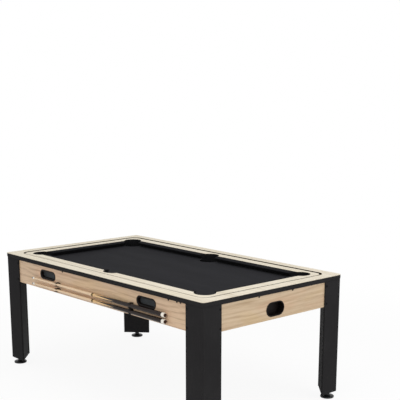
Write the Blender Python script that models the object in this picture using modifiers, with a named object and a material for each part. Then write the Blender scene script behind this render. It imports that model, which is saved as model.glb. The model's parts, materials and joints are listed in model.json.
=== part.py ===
"""Multi game table: a playfield with pool on one face and air hockey on the other turns in its frame.

Units are metres and +Z is up. The floor is Z = 0 and the origin lies under the middle of the table.
X runs along the table. The long side with the cue clips faces -Y.
"""

import math
from math import cos, radians, sin

import bmesh
import bpy
from mathutils import Matrix, Vector

# Overall sizes
TABLE_LENGTH = 2.130
TABLE_WIDTH = 1.196
TABLE_HEIGHT = 0.826

# Fit between pieces
SEAT_GAP = 0.0003
RUNNING_GAP = 0.0004
CUT_OVERRUN = 0.002

# Facets
CORNER_STEPS = 6
ROUND_STEPS = 24
SMALL_ROUND_STEPS = 16
BEND_STEPS = 4
WELD_DISTANCE = 0.00001
SMOOTH_ANGLE = radians(32)

# Top frame: a black ring with an oak panel on it
FRAME_DEPTH = 0.034
FRAME_CORNER_RADIUS = 0.024
OAK_PANEL_THICKNESS = 0.003
RAIL_WIDTH_AT_ENDS = 0.0825
RAIL_WIDTH_AT_SIDES = 0.075
LIP_DEPTH = 0.022
LIP_SLOPE_DEPTH = 0.008
LIP_OVERHANG = 0.007

# Legs: hollow three-sided columns, closed by a diagonal board behind the two outer ones
LEG_WIDTH_ALONG = 0.150
LEG_WIDTH_ACROSS = 0.142
LEG_THICKNESS = 0.012
LEG_DIAGONAL_THICKNESS = 0.012
LEG_DIAGONAL_SETBACK = 0.004
LEG_CORNER_RADIUS = 0.006
LEG_BOTTOM_HEIGHT = 0.042
LEG_FLOOR_THICKNESS = 0.042

# Levelling feet
FOOT_AXIS_INSET = 0.043
FOOT_DISC_RADIUS = 0.045
FOOT_DISC_HEIGHT = 0.013
FOOT_EDGE_ROUND = 0.004
FOOT_HUB_RADIUS = 0.027
FOOT_HUB_TOP_RADIUS = 0.022
FOOT_HUB_CORE_RADIUS = 0.016
FOOT_STEM_RADIUS = 0.006
FOOT_STEM_LENGTH = 0.028
FOOT_HOLE_DEPTH = 0.034

# Aprons and their windows
APRON_HEIGHT = 0.162
APRON_THICKNESS = 0.015
APRON_SETBACK = 0.009
SIDE_WINDOW_LENGTH = 0.188
SIDE_WINDOW_HEIGHT = 0.066
SIDE_WINDOW_DEPTH = 0.092
SIDE_WINDOW_OFFSET = 0.539
END_WINDOW_LENGTH = 0.156
END_WINDOW_HEIGHT = 0.090
END_WINDOW_DEPTH = 0.133
TRAY_WALL = 0.002
TRAY_FLANGE_WIDTH = 0.004
TRAY_FLANGE_THICKNESS = 0.0015
SIDE_TRAY_DEPTH = 0.045
END_TRAY_TO_BEAM = 0.0025

# Playfield cabinet
TURN_GAP_AT_ENDS = 0.005
TURN_GAP_AT_SIDES = 0.008
CABINET_THICKNESS = 0.188
CABINET_CORNER_RADIUS = 0.055
RIM_THICKNESS = 0.018
RIM_WIDTH = 0.070
EDGING_THICKNESS = 0.0015
PANEL_THICKNESS = 0.015

# Pool side
CLOTH_DEPTH = 0.038
BED_THICKNESS = 0.012
POOL_OPENING_RADIUS = 0.012
CUSHION_WIDTH = 0.045
CUSHION_TOP_DROP = 0.0015
CUSHION_NOSE_HEIGHT = 0.028
CUSHION_NOSE_RADIUS = 0.003
CUSHION_BASE_WIDTH = 0.014
CUSHION_TONGUE_WIDTH = 0.018
CORNER_JAW_RUN = 0.030
SIDE_JAW_RUN = 0.011
JAW_GAP = 0.002

# Pockets
CORNER_POCKET_RADIUS = 0.066
SIDE_POCKET_RADIUS = 0.070
POCKET_WALL = 0.003
POCKET_TAPER = 0.014
POCKET_BOTTOM_ROUND = 0.012
POCKET_STEPS = 2
POCKET_DEPTH = 0.138
POCKET_TOP_DROP = 0.0005
CORNER_POCKET_INSET = 0.104
SIDE_POCKET_INSET = 0.095

# Hockey side
FIELD_THICKNESS = 0.006
FIELD_CORNER_RADIUS = 0.035
GOAL_WIDTH = 0.200
GOAL_SLOT_HEIGHT = 0.009
OUTLET_WIDTH = 0.180
OUTLET_HEIGHT = 0.036
OUTLET_CORNER_RADIUS = 0.006
OUTLET_BOTTOM = 0.030

# Pivots and the beams that carry them
BEAM_GAP = 0.0065
BEAM_THICKNESS = 0.018
BEAM_HEIGHT = 0.060
SHAFT_RADIUS = 0.010
SHAFT_STAND_OUT = 0.0012
SHAFT_CHAMFER = 0.001
SHAFT_FLANGE_RADIUS = 0.035
SHAFT_FLANGE_THICKNESS = 0.005
SHAFT_NUT_RADIUS = 0.016
SHAFT_NUT_THICKNESS = 0.008

# Lock bolts and the slots that take them
LOCK_INSET = 0.179
LOCK_SLOT_LENGTH = 0.120
LOCK_SLOT_WIDTH = 0.010
LOCK_RADIUS = 0.004
LOCK_BEND_RADIUS = 0.006
LOCK_ENGAGEMENT = 0.011
LOCK_HANDLE_LENGTH = 0.060
LOCK_HANDLE_CLEARANCE = 0.001
LOCK_TIP_SETBACK = 0.0005

# Blower
BLOWER_SIZE = 0.092
BLOWER_DEPTH = 0.030
BLOWER_CORNER_RADIUS = 0.006
BLOWER_BORE_RADIUS = 0.0435
BLOWER_HUB_RADIUS = 0.018
BLOWER_BACK_THICKNESS = 0.004
BLOWER_STRUT_WIDTH = 0.005
BLOWER_STRUTS = 4
BLOWER_OFFSET = 0.350
BLOWER_LIFT = -0.0135
GRILLE_RADIUS = 0.040
GRILLE_SLOT_WIDTH = 0.006
GRILLE_SLOT_PITCH = 0.0115
GRILLE_SLOTS_EACH_SIDE = 3
IMPELLER_HUB_RADIUS = 0.017
IMPELLER_TIP_GAP = 0.0015
IMPELLER_HUB_DEPTH = 0.020
IMPELLER_BLADES = 7
BLADE_THICKNESS = 0.0015
BLADE_CHORD = 0.022
BLADE_ROOT_SINK = 0.003
BLADE_ROOT_PITCH = radians(48)
BLADE_TIP_PITCH = radians(28)
BLADE_STATIONS = 3
BLADE_CAMBER = 0.0025

# Cue clips and cues
CLIP_OFFSET = 0.403
UPPER_CUE_DEPTH = 0.131
LOWER_CUE_DEPTH = 0.170
CLIP_BASE_LENGTH = 0.046
CLIP_BASE_HEIGHT = 0.016
CLIP_BASE_THICKNESS = 0.003
CLIP_JAW_LENGTH = 0.022
CLIP_JAW_WALL = 0.003
CLIP_JAW_REACH = 0.012
CUE_STAND_OFF = 0.019
CUE_CLEARANCE = 0.0005
CUE_LENGTH = 1.448
CUE_SHIFT = 0.018
CUE_TIP_RADIUS = 0.0065
CUE_TIP_LENGTH = 0.012
CUE_TIP_CROWN = 0.002
CUE_BUTT_RADIUS = 0.0145
CUE_JOINT_RADIUS = 0.0108
CUE_COLLAR_STEP = 0.0006
CUE_COLLAR_LENGTH = 0.022
CUE_BUMPER_RADIUS = 0.012
CUE_BUMPER_LENGTH = 0.012

# Values worked out from the sizes above
HALF_LENGTH = TABLE_LENGTH / 2
HALF_WIDTH = TABLE_WIDTH / 2
OPENING_HALF_LENGTH = HALF_LENGTH - RAIL_WIDTH_AT_ENDS
OPENING_HALF_WIDTH = HALF_WIDTH - RAIL_WIDTH_AT_SIDES
CABINET_HALF_LENGTH = OPENING_HALF_LENGTH - TURN_GAP_AT_ENDS
CABINET_HALF_WIDTH = OPENING_HALF_WIDTH - TURN_GAP_AT_SIDES
CABINET_FACE = CABINET_THICKNESS / 2
AXIS_HEIGHT = TABLE_HEIGHT - CABINET_FACE
LEG_TOP_HEIGHT = TABLE_HEIGHT - FRAME_DEPTH
LEG_FACE_X = HALF_LENGTH - LIP_OVERHANG
LEG_FACE_Y = HALF_WIDTH - LIP_OVERHANG
APRON_FACE_X = LEG_FACE_X - APRON_SETBACK
APRON_FACE_Y = LEG_FACE_Y - APRON_SETBACK
APRON_MIDDLE_HEIGHT = LEG_TOP_HEIGHT - SEAT_GAP - APRON_HEIGHT / 2
RIM_INNER_FACE = CABINET_FACE - RIM_THICKNESS
PANEL_FACE_X = CABINET_HALF_LENGTH - EDGING_THICKNESS
PANEL_FACE_Y = CABINET_HALF_WIDTH - EDGING_THICKNESS
PANEL_INSIDE_X = PANEL_FACE_X - PANEL_THICKNESS
PANEL_INSIDE_Y = PANEL_FACE_Y - PANEL_THICKNESS
PANEL_HEIGHT = 2 * (RIM_INNER_FACE - SEAT_GAP)
CORNER_CENTRE_X = CABINET_HALF_LENGTH - CABINET_CORNER_RADIUS
CORNER_CENTRE_Y = CABINET_HALF_WIDTH - CABINET_CORNER_RADIUS
POOL_OPENING_X = CABINET_HALF_LENGTH - RIM_WIDTH
POOL_OPENING_Y = CABINET_HALF_WIDTH - RIM_WIDTH
CLOTH_LEVEL = CABINET_FACE - CLOTH_DEPTH
CORNER_POCKET_X = CABINET_HALF_LENGTH - CORNER_POCKET_INSET
CORNER_POCKET_Y = CABINET_HALF_WIDTH - CORNER_POCKET_INSET
SIDE_POCKET_Y = CABINET_HALF_WIDTH - SIDE_POCKET_INSET
LOCK_OFFSET = CABINET_HALF_WIDTH - LOCK_INSET
BEAM_INNER_FACE = CABINET_HALF_LENGTH + BEAM_GAP
BEAM_OUTER_FACE = BEAM_INNER_FACE + BEAM_THICKNESS
DIAGONAL_RUN = LEG_WIDTH_ALONG - LEG_DIAGONAL_SETBACK - LEG_THICKNESS
DIAGONAL_RISE = LEG_WIDTH_ACROSS - LEG_DIAGONAL_SETBACK - LEG_THICKNESS
DIAGONAL_START_X = LEG_FACE_X - LEG_THICKNESS - DIAGONAL_RUN
DIAGONAL_START_Y = LEG_FACE_Y - LEG_THICKNESS
CUE_CENTRE_Y = -(APRON_FACE_Y + CUE_STAND_OFF)

ENDS = {"left": -1, "right": 1}
SIDES = {"front": -1, "back": 1}
CUE_DEPTHS = {"upper": UPPER_CUE_DEPTH, "lower": LOWER_CUE_DEPTH}

# Colour, roughness and metallic of each finish
FINISHES = {
    "oak_top": ((0.78, 0.70, 0.58), 0.45, 0.0),
    "oak_apron": ((0.60, 0.45, 0.31), 0.50, 0.0),
    "black_laminate": ((0.022, 0.022, 0.025), 0.42, 0.0),
    "black_plastic": ((0.012, 0.012, 0.013), 0.40, 0.0),
    "black_cloth": ((0.026, 0.026, 0.030), 0.90, 0.0),
    "hockey_gloss": ((0.004, 0.004, 0.005), 0.12, 0.0),
    "steel": ((0.55, 0.55, 0.56), 0.35, 1.0),
    "maple_cue": ((0.72, 0.50, 0.30), 0.30, 0.0),
    "pine_beam": ((0.56, 0.42, 0.27), 0.70, 0.0),
}


def clear_scene():
    """Remove the objects that the file opened with."""
    for item in list(bpy.data.objects):
        bpy.data.objects.remove(item, do_unlink=True)


def new_collection(name):
    """Make a collection under the scene's own."""
    collection = bpy.data.collections.new(name)
    bpy.context.scene.collection.children.link(collection)
    return collection


def new_finish(name):
    """Make a Principled material from the table of finishes."""
    colour, roughness, metallic = FINISHES[name]
    finish = bpy.data.materials.new(name)
    finish.use_nodes = True
    shader = finish.node_tree.nodes["Principled BSDF"]
    shader.inputs["Base Color"].default_value = (*colour, 1.0)
    shader.inputs["Roughness"].default_value = roughness
    shader.inputs["Metallic"].default_value = metallic
    return finish


def arc_points(centre_x, centre_y, radius, start, stop, steps):
    """Points along an arc, both ends included."""
    angles = [start + (stop - start) * step / steps for step in range(steps + 1)]
    return [(centre_x + radius * cos(angle), centre_y + radius * sin(angle)) for angle in angles]


def rounded_rectangle(half_x, half_y, radius, steps=CORNER_STEPS):
    """Outline of a rectangle with round corners, anticlockwise."""
    points = []
    for quarter, (sign_x, sign_y) in enumerate(((1, 1), (-1, 1), (-1, -1), (1, -1))):
        start = quarter * math.pi / 2
        centre_x = sign_x * (half_x - radius)
        centre_y = sign_y * (half_y - radius)
        points += arc_points(centre_x, centre_y, radius, start, start + math.pi / 2, steps)
    return points


def stadium(half_length, half_height):
    """Outline of a slot with round ends, left just short of touching arcs."""
    return rounded_rectangle(half_length, half_height, half_height - WELD_DISTANCE)


def rectangle(half_x, half_y):
    """Outline of a plain rectangle."""
    return [(half_x, half_y), (-half_x, half_y), (-half_x, -half_y), (half_x, -half_y)]


def circle(radius, steps=ROUND_STEPS):
    """Outline of a full circle."""
    return arc_points(0, 0, radius, 0, 2 * math.pi, steps)[:-1]


def moved(outline, shift_x, shift_y):
    """The outline moved in its own plane."""
    return [(x + shift_x, y + shift_y) for x, y in outline]


def flipped(outline, sign_x, sign_y):
    """The outline mirrored where a sign is -1."""
    return [(x * sign_x, y * sign_y) for x, y in outline]


class Workshop:
    """Makes the pieces and keeps the collections and finishes."""

    # Where the outline's own axes point in the room, for each plane that a board can lie in
    PLANES = {
        "XY": Matrix(((1, 0, 0), (0, 1, 0), (0, 0, 1))),
        "XZ": Matrix(((1, 0, 0), (0, 0, -1), (0, 1, 0))),
        "YZ": Matrix(((0, 0, 1), (1, 0, 0), (0, 1, 0))),
    }

    def __init__(self):
        self.pieces = new_collection("multi_game_table")
        self.cutters = new_collection("cutters")
        self.finishes = {name: new_finish(name) for name in FINISHES}

    def keep(self, name, mesh, finish, location, parent=None):
        """Put a mesh into the table as a named piece."""
        piece = bpy.data.objects.new(name, mesh)
        mesh.materials.append(self.finishes[finish])
        self.pieces.objects.link(piece)
        piece.location = location
        piece.parent = parent
        return piece

    def cutter(self, mesh, location, parent=None):
        """Put a mesh aside as a cutter, which isn't part of the table."""
        tool = bpy.data.objects.new("cutter", mesh)
        self.cutters.objects.link(tool)
        tool.location = location
        tool.parent = parent
        tool.hide_render = True
        tool.display_type = "WIRE"
        return tool

    def axis(self, name, location):
        """An empty that stands on a joint's axis and carries the pieces that move about it."""
        empty = bpy.data.objects.new(name, None)
        self.pieces.objects.link(empty)
        empty.location = location
        return empty

    @staticmethod
    def combine(piece, tool, operation):
        """Cut a piece with a tool, or join the tool to it."""
        boolean = piece.modifiers.new("combine", "BOOLEAN")
        boolean.operation = operation
        boolean.solver = "EXACT"
        boolean.object = tool

    @staticmethod
    def mesh_from_curve(curve_data):
        """Turn a filled curve into a welded mesh."""
        holder = bpy.data.objects.new("curve_holder", curve_data)
        bpy.context.scene.collection.objects.link(holder)
        graph = bpy.context.evaluated_depsgraph_get()
        mesh = bpy.data.meshes.new_from_object(holder.evaluated_get(graph))
        bpy.data.objects.remove(holder, do_unlink=True)
        bpy.data.curves.remove(curve_data)
        work = bmesh.new()
        work.from_mesh(mesh)
        bmesh.ops.remove_doubles(work, verts=work.verts, dist=WELD_DISTANCE)
        bmesh.ops.recalc_face_normals(work, faces=work.faces)
        work.to_mesh(mesh)
        work.free()
        mesh.materials.clear()
        return mesh

    def board(self, outlines, thickness, plane="XY"):
        """A flat board with the first outline as its edge and the others as its holes."""
        flat = bpy.data.curves.new("board", "CURVE")
        flat.dimensions = "2D"
        flat.fill_mode = "BOTH"
        flat.extrude = thickness / 2
        for outline in outlines:
            spline = flat.splines.new("POLY")
            spline.points.add(len(outline) - 1)
            for point, (x, y) in zip(spline.points, outline):
                point.co = (x, y, 0, 1)
            spline.use_cyclic_u = True
        mesh = self.mesh_from_curve(flat)
        mesh.transform(self.PLANES[plane].to_4x4())
        return mesh

    def rod(self, path, radius):
        """A round rod along a path of points, with flat ends."""
        line = bpy.data.curves.new("rod", "CURVE")
        line.dimensions = "3D"
        line.bevel_depth = radius
        line.bevel_resolution = 2
        line.use_fill_caps = True
        spline = line.splines.new("POLY")
        spline.points.add(len(path) - 1)
        for point, place in zip(spline.points, path):
            point.co = (*place, 1)
        return self.mesh_from_curve(line)

    @staticmethod
    def turned(name, profile):
        """A mesh that holds only a profile at +X, outer side running down."""
        mesh = bpy.data.meshes.new(name)
        points = [(radius, 0, height) for radius, height in profile]
        mesh.from_pydata(points, [(i, i + 1) for i in range(len(points) - 1)], [])
        return mesh

    @staticmethod
    def spin(piece, steps=ROUND_STEPS):
        """Turn the piece's profile round its own Z axis."""
        screw = piece.modifiers.new("spin", "SCREW")
        screw.axis = "Z"
        screw.angle = 2 * math.pi
        screw.steps = steps
        screw.render_steps = steps
        screw.use_merge_vertices = True
        screw.merge_threshold = WELD_DISTANCE
        screw.use_smooth_shade = True

    @staticmethod
    def smooth(mesh):
        """Shade a faceted round mesh smooth, with its edges kept."""
        mesh.shade_smooth()
        mesh.set_sharp_from_angle(angle=SMOOTH_ANGLE)
        return mesh

    @staticmethod
    def block(size_x, size_y, size_z):
        """A box mesh about its own middle."""
        work = bmesh.new()
        bmesh.ops.create_cube(work, size=1, matrix=Matrix.Diagonal((size_x, size_y, size_z, 1)))
        mesh = bpy.data.meshes.new("block")
        work.to_mesh(mesh)
        work.free()
        return mesh

    @staticmethod
    def cylinder(radius, depth, steps=ROUND_STEPS, turn=None):
        """A cylinder mesh about its own middle, along Z or turned."""
        work = bmesh.new()
        bmesh.ops.create_cone(
            work, cap_ends=True, segments=steps, radius1=radius, radius2=radius, depth=depth
        )
        mesh = bpy.data.meshes.new("cylinder")
        work.to_mesh(mesh)
        work.free()
        if turn is not None:
            mesh.transform(turn.to_4x4())
        return mesh


def add_top_frame(shop):
    """The black ring that the playfield turns in, and the oak panel that covers it."""
    outside = rounded_rectangle(HALF_LENGTH, HALF_WIDTH, FRAME_CORNER_RADIUS, BEND_STEPS)
    opening = rounded_rectangle(
        OPENING_HALF_LENGTH, OPENING_HALF_WIDTH, CABINET_CORNER_RADIUS + TURN_GAP_AT_SIDES
    )
    panel_middle = TABLE_HEIGHT - OAK_PANEL_THICKNESS / 2
    panel = shop.board((outside, opening), OAK_PANEL_THICKNESS)
    shop.keep("top_frame_oak_panel", panel, "oak_top", (0, 0, panel_middle))

    core_top = TABLE_HEIGHT - OAK_PANEL_THICKNESS - SEAT_GAP
    core_thickness = core_top - LEG_TOP_HEIGHT
    core = shop.board((outside, opening), core_thickness)
    ring = shop.keep("top_frame", core, "black_laminate", (0, 0, core_top - core_thickness / 2))

    # The lip's underside slopes in to the faces of the legs
    underside = bpy.data.meshes.new("lip_underside")
    levels = (
        (LIP_OVERHANG, LEG_CORNER_RADIUS, LEG_TOP_HEIGHT - CUT_OVERRUN),
        (LIP_OVERHANG, LEG_CORNER_RADIUS, TABLE_HEIGHT - LIP_DEPTH - LIP_SLOPE_DEPTH),
        (0, FRAME_CORNER_RADIUS, TABLE_HEIGHT - LIP_DEPTH),
        (-CUT_OVERRUN, FRAME_CORNER_RADIUS, TABLE_HEIGHT - LIP_DEPTH),
        (-CUT_OVERRUN, FRAME_CORNER_RADIUS, LEG_TOP_HEIGHT - CUT_OVERRUN),
    )
    points = []
    for inset, radius, height in levels:
        loop = rounded_rectangle(HALF_LENGTH - inset, HALF_WIDTH - inset, radius, BEND_STEPS)
        points += [(x, y, height) for x, y in loop]
    count = len(loop)
    faces = []
    for level in range(len(levels)):
        here = level * count
        above = (level + 1) % len(levels) * count
        for step in range(count):
            after = (step + 1) % count
            faces.append((here + step, here + after, above + after, above + step))
    underside.from_pydata(points, [], faces)
    work = bmesh.new()
    work.from_mesh(underside)
    bmesh.ops.recalc_face_normals(work, faces=work.faces)
    work.to_mesh(underside)
    work.free()
    shop.combine(ring, shop.cutter(underside, (0, 0, 0)), "DIFFERENCE")


def leg_outline():
    """The column's section, its outer corner at the origin and its faces along +X and +Y."""
    corner = arc_points(
        LEG_CORNER_RADIUS, LEG_CORNER_RADIUS, LEG_CORNER_RADIUS, -math.pi / 2, -math.pi, BEND_STEPS
    )
    return [
        *corner,
        (0, LEG_WIDTH_ACROSS),
        (LEG_THICKNESS, LEG_WIDTH_ACROSS),
        (LEG_THICKNESS, LEG_THICKNESS + DIAGONAL_RISE),
        (LEG_THICKNESS + DIAGONAL_RUN, LEG_THICKNESS),
        (LEG_WIDTH_ALONG, LEG_THICKNESS),
        (LEG_WIDTH_ALONG, 0),
    ]


def leg_hollow_outline():
    """The triangle inside the column, behind its three boards."""
    depth = DIAGONAL_RUN * DIAGONAL_RISE / math.hypot(DIAGONAL_RUN, DIAGONAL_RISE)
    hollow_share = (depth - LEG_DIAGONAL_THICKNESS) / depth
    return [
        (LEG_THICKNESS, LEG_THICKNESS),
        (LEG_THICKNESS + DIAGONAL_RUN * hollow_share, LEG_THICKNESS),
        (LEG_THICKNESS, LEG_THICKNESS + DIAGONAL_RISE * hollow_share),
    ]


def add_leg(shop, name, sign_x, sign_y):
    """One leg: a hollow three-sided column with a solid floor that takes the foot's stem."""
    corner_x = sign_x * LEG_FACE_X
    corner_y = sign_y * LEG_FACE_Y
    height = LEG_TOP_HEIGHT - SEAT_GAP - LEG_BOTTOM_HEIGHT
    outline = flipped(leg_outline(), -sign_x, -sign_y)
    middle = LEG_BOTTOM_HEIGHT + height / 2
    leg = shop.keep(name, shop.board((outline,), height), "black_laminate", (corner_x, corner_y, middle))

    hollow_height = height - LEG_FLOOR_THICKNESS + CUT_OVERRUN
    hollow = shop.board((flipped(leg_hollow_outline(), -sign_x, -sign_y),), hollow_height)
    hollow_middle = LEG_BOTTOM_HEIGHT + LEG_FLOOR_THICKNESS + hollow_height / 2
    shop.combine(leg, shop.cutter(hollow, (corner_x, corner_y, hollow_middle)), "DIFFERENCE")

    hole = shop.cylinder(FOOT_STEM_RADIUS + SEAT_GAP, FOOT_HOLE_DEPTH + CUT_OVERRUN, SMALL_ROUND_STEPS)
    hole_place = (corner_x - sign_x * FOOT_AXIS_INSET, corner_y - sign_y * FOOT_AXIS_INSET,
                  LEG_BOTTOM_HEIGHT + (FOOT_HOLE_DEPTH - CUT_OVERRUN) / 2)
    shop.combine(leg, shop.cutter(hole, hole_place), "DIFFERENCE")


def add_foot(shop, name, sign_x, sign_y):
    """One levelling foot: a disc and hub on a stem that screws into the leg's block."""
    hub_top = LEG_BOTTOM_HEIGHT - SEAT_GAP
    edge = arc_points(
        FOOT_DISC_RADIUS - FOOT_EDGE_ROUND, FOOT_DISC_HEIGHT - FOOT_EDGE_ROUND, FOOT_EDGE_ROUND,
        math.pi / 2, 0, BEND_STEPS,
    )
    profile = [
        (0, hub_top + FOOT_STEM_LENGTH),
        (FOOT_STEM_RADIUS, hub_top + FOOT_STEM_LENGTH),
        (FOOT_STEM_RADIUS, hub_top),
        (FOOT_HUB_TOP_RADIUS, hub_top),
        (FOOT_HUB_CORE_RADIUS, (hub_top + FOOT_DISC_HEIGHT) / 2),
        (FOOT_HUB_RADIUS, FOOT_DISC_HEIGHT),
        *edge,
        (FOOT_DISC_RADIUS, 0),
        (0, 0),
    ]
    place = (sign_x * (LEG_FACE_X - FOOT_AXIS_INSET), sign_y * (LEG_FACE_Y - FOOT_AXIS_INSET), 0)
    shop.spin(shop.keep(name, shop.turned(name, profile), "black_plastic", place), SMALL_ROUND_STEPS)


def add_legs(shop):
    """The four legs and the foot under each."""
    for side, sign_y in SIDES.items():
        for end, sign_x in ENDS.items():
            add_leg(shop, f"leg_{side}_{end}", sign_x, sign_y)
            add_foot(shop, f"levelling_foot_{side}_{end}", sign_x, sign_y)


def window_outline(length, height):
    """The hole that a window's tray fits through."""
    return stadium(length / 2 - TRAY_FLANGE_WIDTH, height / 2 - TRAY_FLANGE_WIDTH)


def add_aprons(shop):
    """The oak boards between the legs, with their windows."""
    side_lift = TABLE_HEIGHT - SIDE_WINDOW_DEPTH - APRON_MIDDLE_HEIGHT
    side_half = LEG_FACE_X - LEG_WIDTH_ALONG - SEAT_GAP
    window = window_outline(SIDE_WINDOW_LENGTH, SIDE_WINDOW_HEIGHT)
    for side, sign_y in SIDES.items():
        holes = [moved(window, sign_x * SIDE_WINDOW_OFFSET, side_lift) for sign_x in ENDS.values()]
        mesh = shop.board((rectangle(side_half, APRON_HEIGHT / 2), *holes), APRON_THICKNESS, "XZ")
        middle_y = sign_y * (APRON_FACE_Y - APRON_THICKNESS / 2)
        shop.keep(f"apron_{side}", mesh, "oak_apron", (0, middle_y, APRON_MIDDLE_HEIGHT))

    end_lift = TABLE_HEIGHT - END_WINDOW_DEPTH - APRON_MIDDLE_HEIGHT
    end_half = LEG_FACE_Y - LEG_WIDTH_ACROSS - SEAT_GAP
    hole = moved(window_outline(END_WINDOW_LENGTH, END_WINDOW_HEIGHT), 0, end_lift)
    for end, sign_x in ENDS.items():
        mesh = shop.board((rectangle(end_half, APRON_HEIGHT / 2), hole), APRON_THICKNESS, "YZ")
        middle_x = sign_x * (APRON_FACE_X - APRON_THICKNESS / 2)
        shop.keep(f"apron_{end}", mesh, "oak_apron", (middle_x, 0, APRON_MIDDLE_HEIGHT))


def tray_meshes(shop, length, height, depth, outward, plane):
    """A tray's flange, body and cavity as boards, each with its middle's distance behind the apron."""
    half_length = length / 2
    half_height = height / 2
    body_inset = TRAY_FLANGE_WIDTH + SEAT_GAP
    cavity_inset = body_inset + TRAY_WALL
    flange = shop.board((stadium(half_length, half_height),), TRAY_FLANGE_THICKNESS, plane)
    body_depth = depth + SEAT_GAP + TRAY_FLANGE_THICKNESS / 2
    body = shop.board((stadium(half_length - body_inset, half_height - body_inset),), body_depth, plane)
    cavity_depth = depth - TRAY_WALL + SEAT_GAP + TRAY_FLANGE_THICKNESS + CUT_OVERRUN
    cavity = shop.board(
        (stadium(half_length - cavity_inset, half_height - cavity_inset),), cavity_depth, plane
    )
    flange_shift = outward * (SEAT_GAP + TRAY_FLANGE_THICKNESS / 2)
    front = SEAT_GAP + TRAY_FLANGE_THICKNESS / 2
    body_shift = outward * (front - body_depth / 2)
    cavity_shift = outward * (SEAT_GAP + TRAY_FLANGE_THICKNESS + CUT_OVERRUN - cavity_depth / 2)
    return (flange, flange_shift), (body, body_shift), (cavity, cavity_shift)


def add_tray(shop, name, face, direction, meshes, roof=None):
    """One window tray; direction points out of the apron, and a roof cutter opens its top."""
    (flange, flange_shift), (body, body_shift), (cavity, cavity_shift) = meshes
    tray = shop.keep(name, flange, "black_plastic", face + direction * flange_shift)
    shop.combine(tray, shop.cutter(body, face + direction * body_shift), "UNION")
    shop.combine(tray, shop.cutter(cavity, face + direction * cavity_shift), "DIFFERENCE")
    if roof is not None:
        shop.combine(tray, roof, "DIFFERENCE")


def add_window_trays(shop):
    """Six shallow trays behind the windows: two in each long apron and one in each end."""
    along_y = Vector((0, 1, 0))
    height = TABLE_HEIGHT - SIDE_WINDOW_DEPTH
    for side, sign_y in SIDES.items():
        for end, sign_x in ENDS.items():
            meshes = tray_meshes(
                shop, SIDE_WINDOW_LENGTH, SIDE_WINDOW_HEIGHT, SIDE_TRAY_DEPTH, sign_y, "XZ"
            )
            face = Vector((sign_x * SIDE_WINDOW_OFFSET, sign_y * APRON_FACE_Y, height))
            add_tray(shop, f"window_tray_{side}_{end}", face, along_y, meshes)

    # The end trays stand open at the top behind the apron, so that a puck can drop in
    along_x = Vector((1, 0, 0))
    end_depth = APRON_FACE_X - BEAM_OUTER_FACE - END_TRAY_TO_BEAM
    height = TABLE_HEIGHT - END_WINDOW_DEPTH
    roof_depth = end_depth - APRON_THICKNESS - 2 * TRAY_WALL
    roof_length = END_WINDOW_LENGTH - END_WINDOW_HEIGHT
    for end, sign_x in ENDS.items():
        meshes = tray_meshes(shop, END_WINDOW_LENGTH, END_WINDOW_HEIGHT, end_depth, sign_x, "YZ")
        face = Vector((sign_x * APRON_FACE_X, 0, height))
        roof_middle = APRON_FACE_X - APRON_THICKNESS - TRAY_WALL - roof_depth / 2
        roof = shop.cutter(
            shop.block(roof_depth, roof_length, END_WINDOW_HEIGHT / 2),
            (sign_x * roof_middle, 0, height + END_WINDOW_HEIGHT / 2),
        )
        add_tray(shop, f"puck_tray_{end}", face, along_x, meshes, roof)


def cue_radius(distance):
    """The cue's radius at a distance from its tip, through tip, joint and butt."""
    half = CUE_LENGTH / 2
    if distance < half:
        return CUE_TIP_RADIUS + (CUE_JOINT_RADIUS - CUE_TIP_RADIUS) * distance / half
    return CUE_JOINT_RADIUS + (CUE_BUTT_RADIUS - CUE_JOINT_RADIUS) * (distance - half) / half


def add_cue(shop, name, depth):
    """One two-piece cue lying in its clips, tip to the left."""
    half = CUE_LENGTH / 2
    collar_start = half - CUE_COLLAR_LENGTH / 2
    collar_end = half + CUE_COLLAR_LENGTH / 2
    butt_end = CUE_LENGTH - CUE_BUMPER_LENGTH
    stations = [
        (0, 0),
        (CUE_TIP_RADIUS - CUE_TIP_CROWN, 0),
        (CUE_TIP_RADIUS, CUE_TIP_CROWN),
        (CUE_TIP_RADIUS, CUE_TIP_LENGTH),
        (cue_radius(collar_start), collar_start),
        (cue_radius(collar_start) + CUE_COLLAR_STEP, collar_start),
        (cue_radius(collar_end) + CUE_COLLAR_STEP, collar_end),
        (cue_radius(collar_end), collar_end),
        (CUE_BUTT_RADIUS, butt_end),
        (CUE_BUMPER_RADIUS, butt_end),
        (CUE_BUMPER_RADIUS, CUE_LENGTH - CUE_TIP_CROWN),
        (CUE_BUMPER_RADIUS - CUE_TIP_CROWN, CUE_LENGTH),
        (0, CUE_LENGTH),
    ]
    profile = [(radius, half - distance) for radius, distance in stations]
    cue = shop.keep(name, shop.turned(name, profile), "maple_cue",
                    (CUE_SHIFT, CUE_CENTRE_Y, TABLE_HEIGHT - depth))
    cue.rotation_euler = (0, -math.pi / 2, 0)
    shop.spin(cue, SMALL_ROUND_STEPS)


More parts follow.
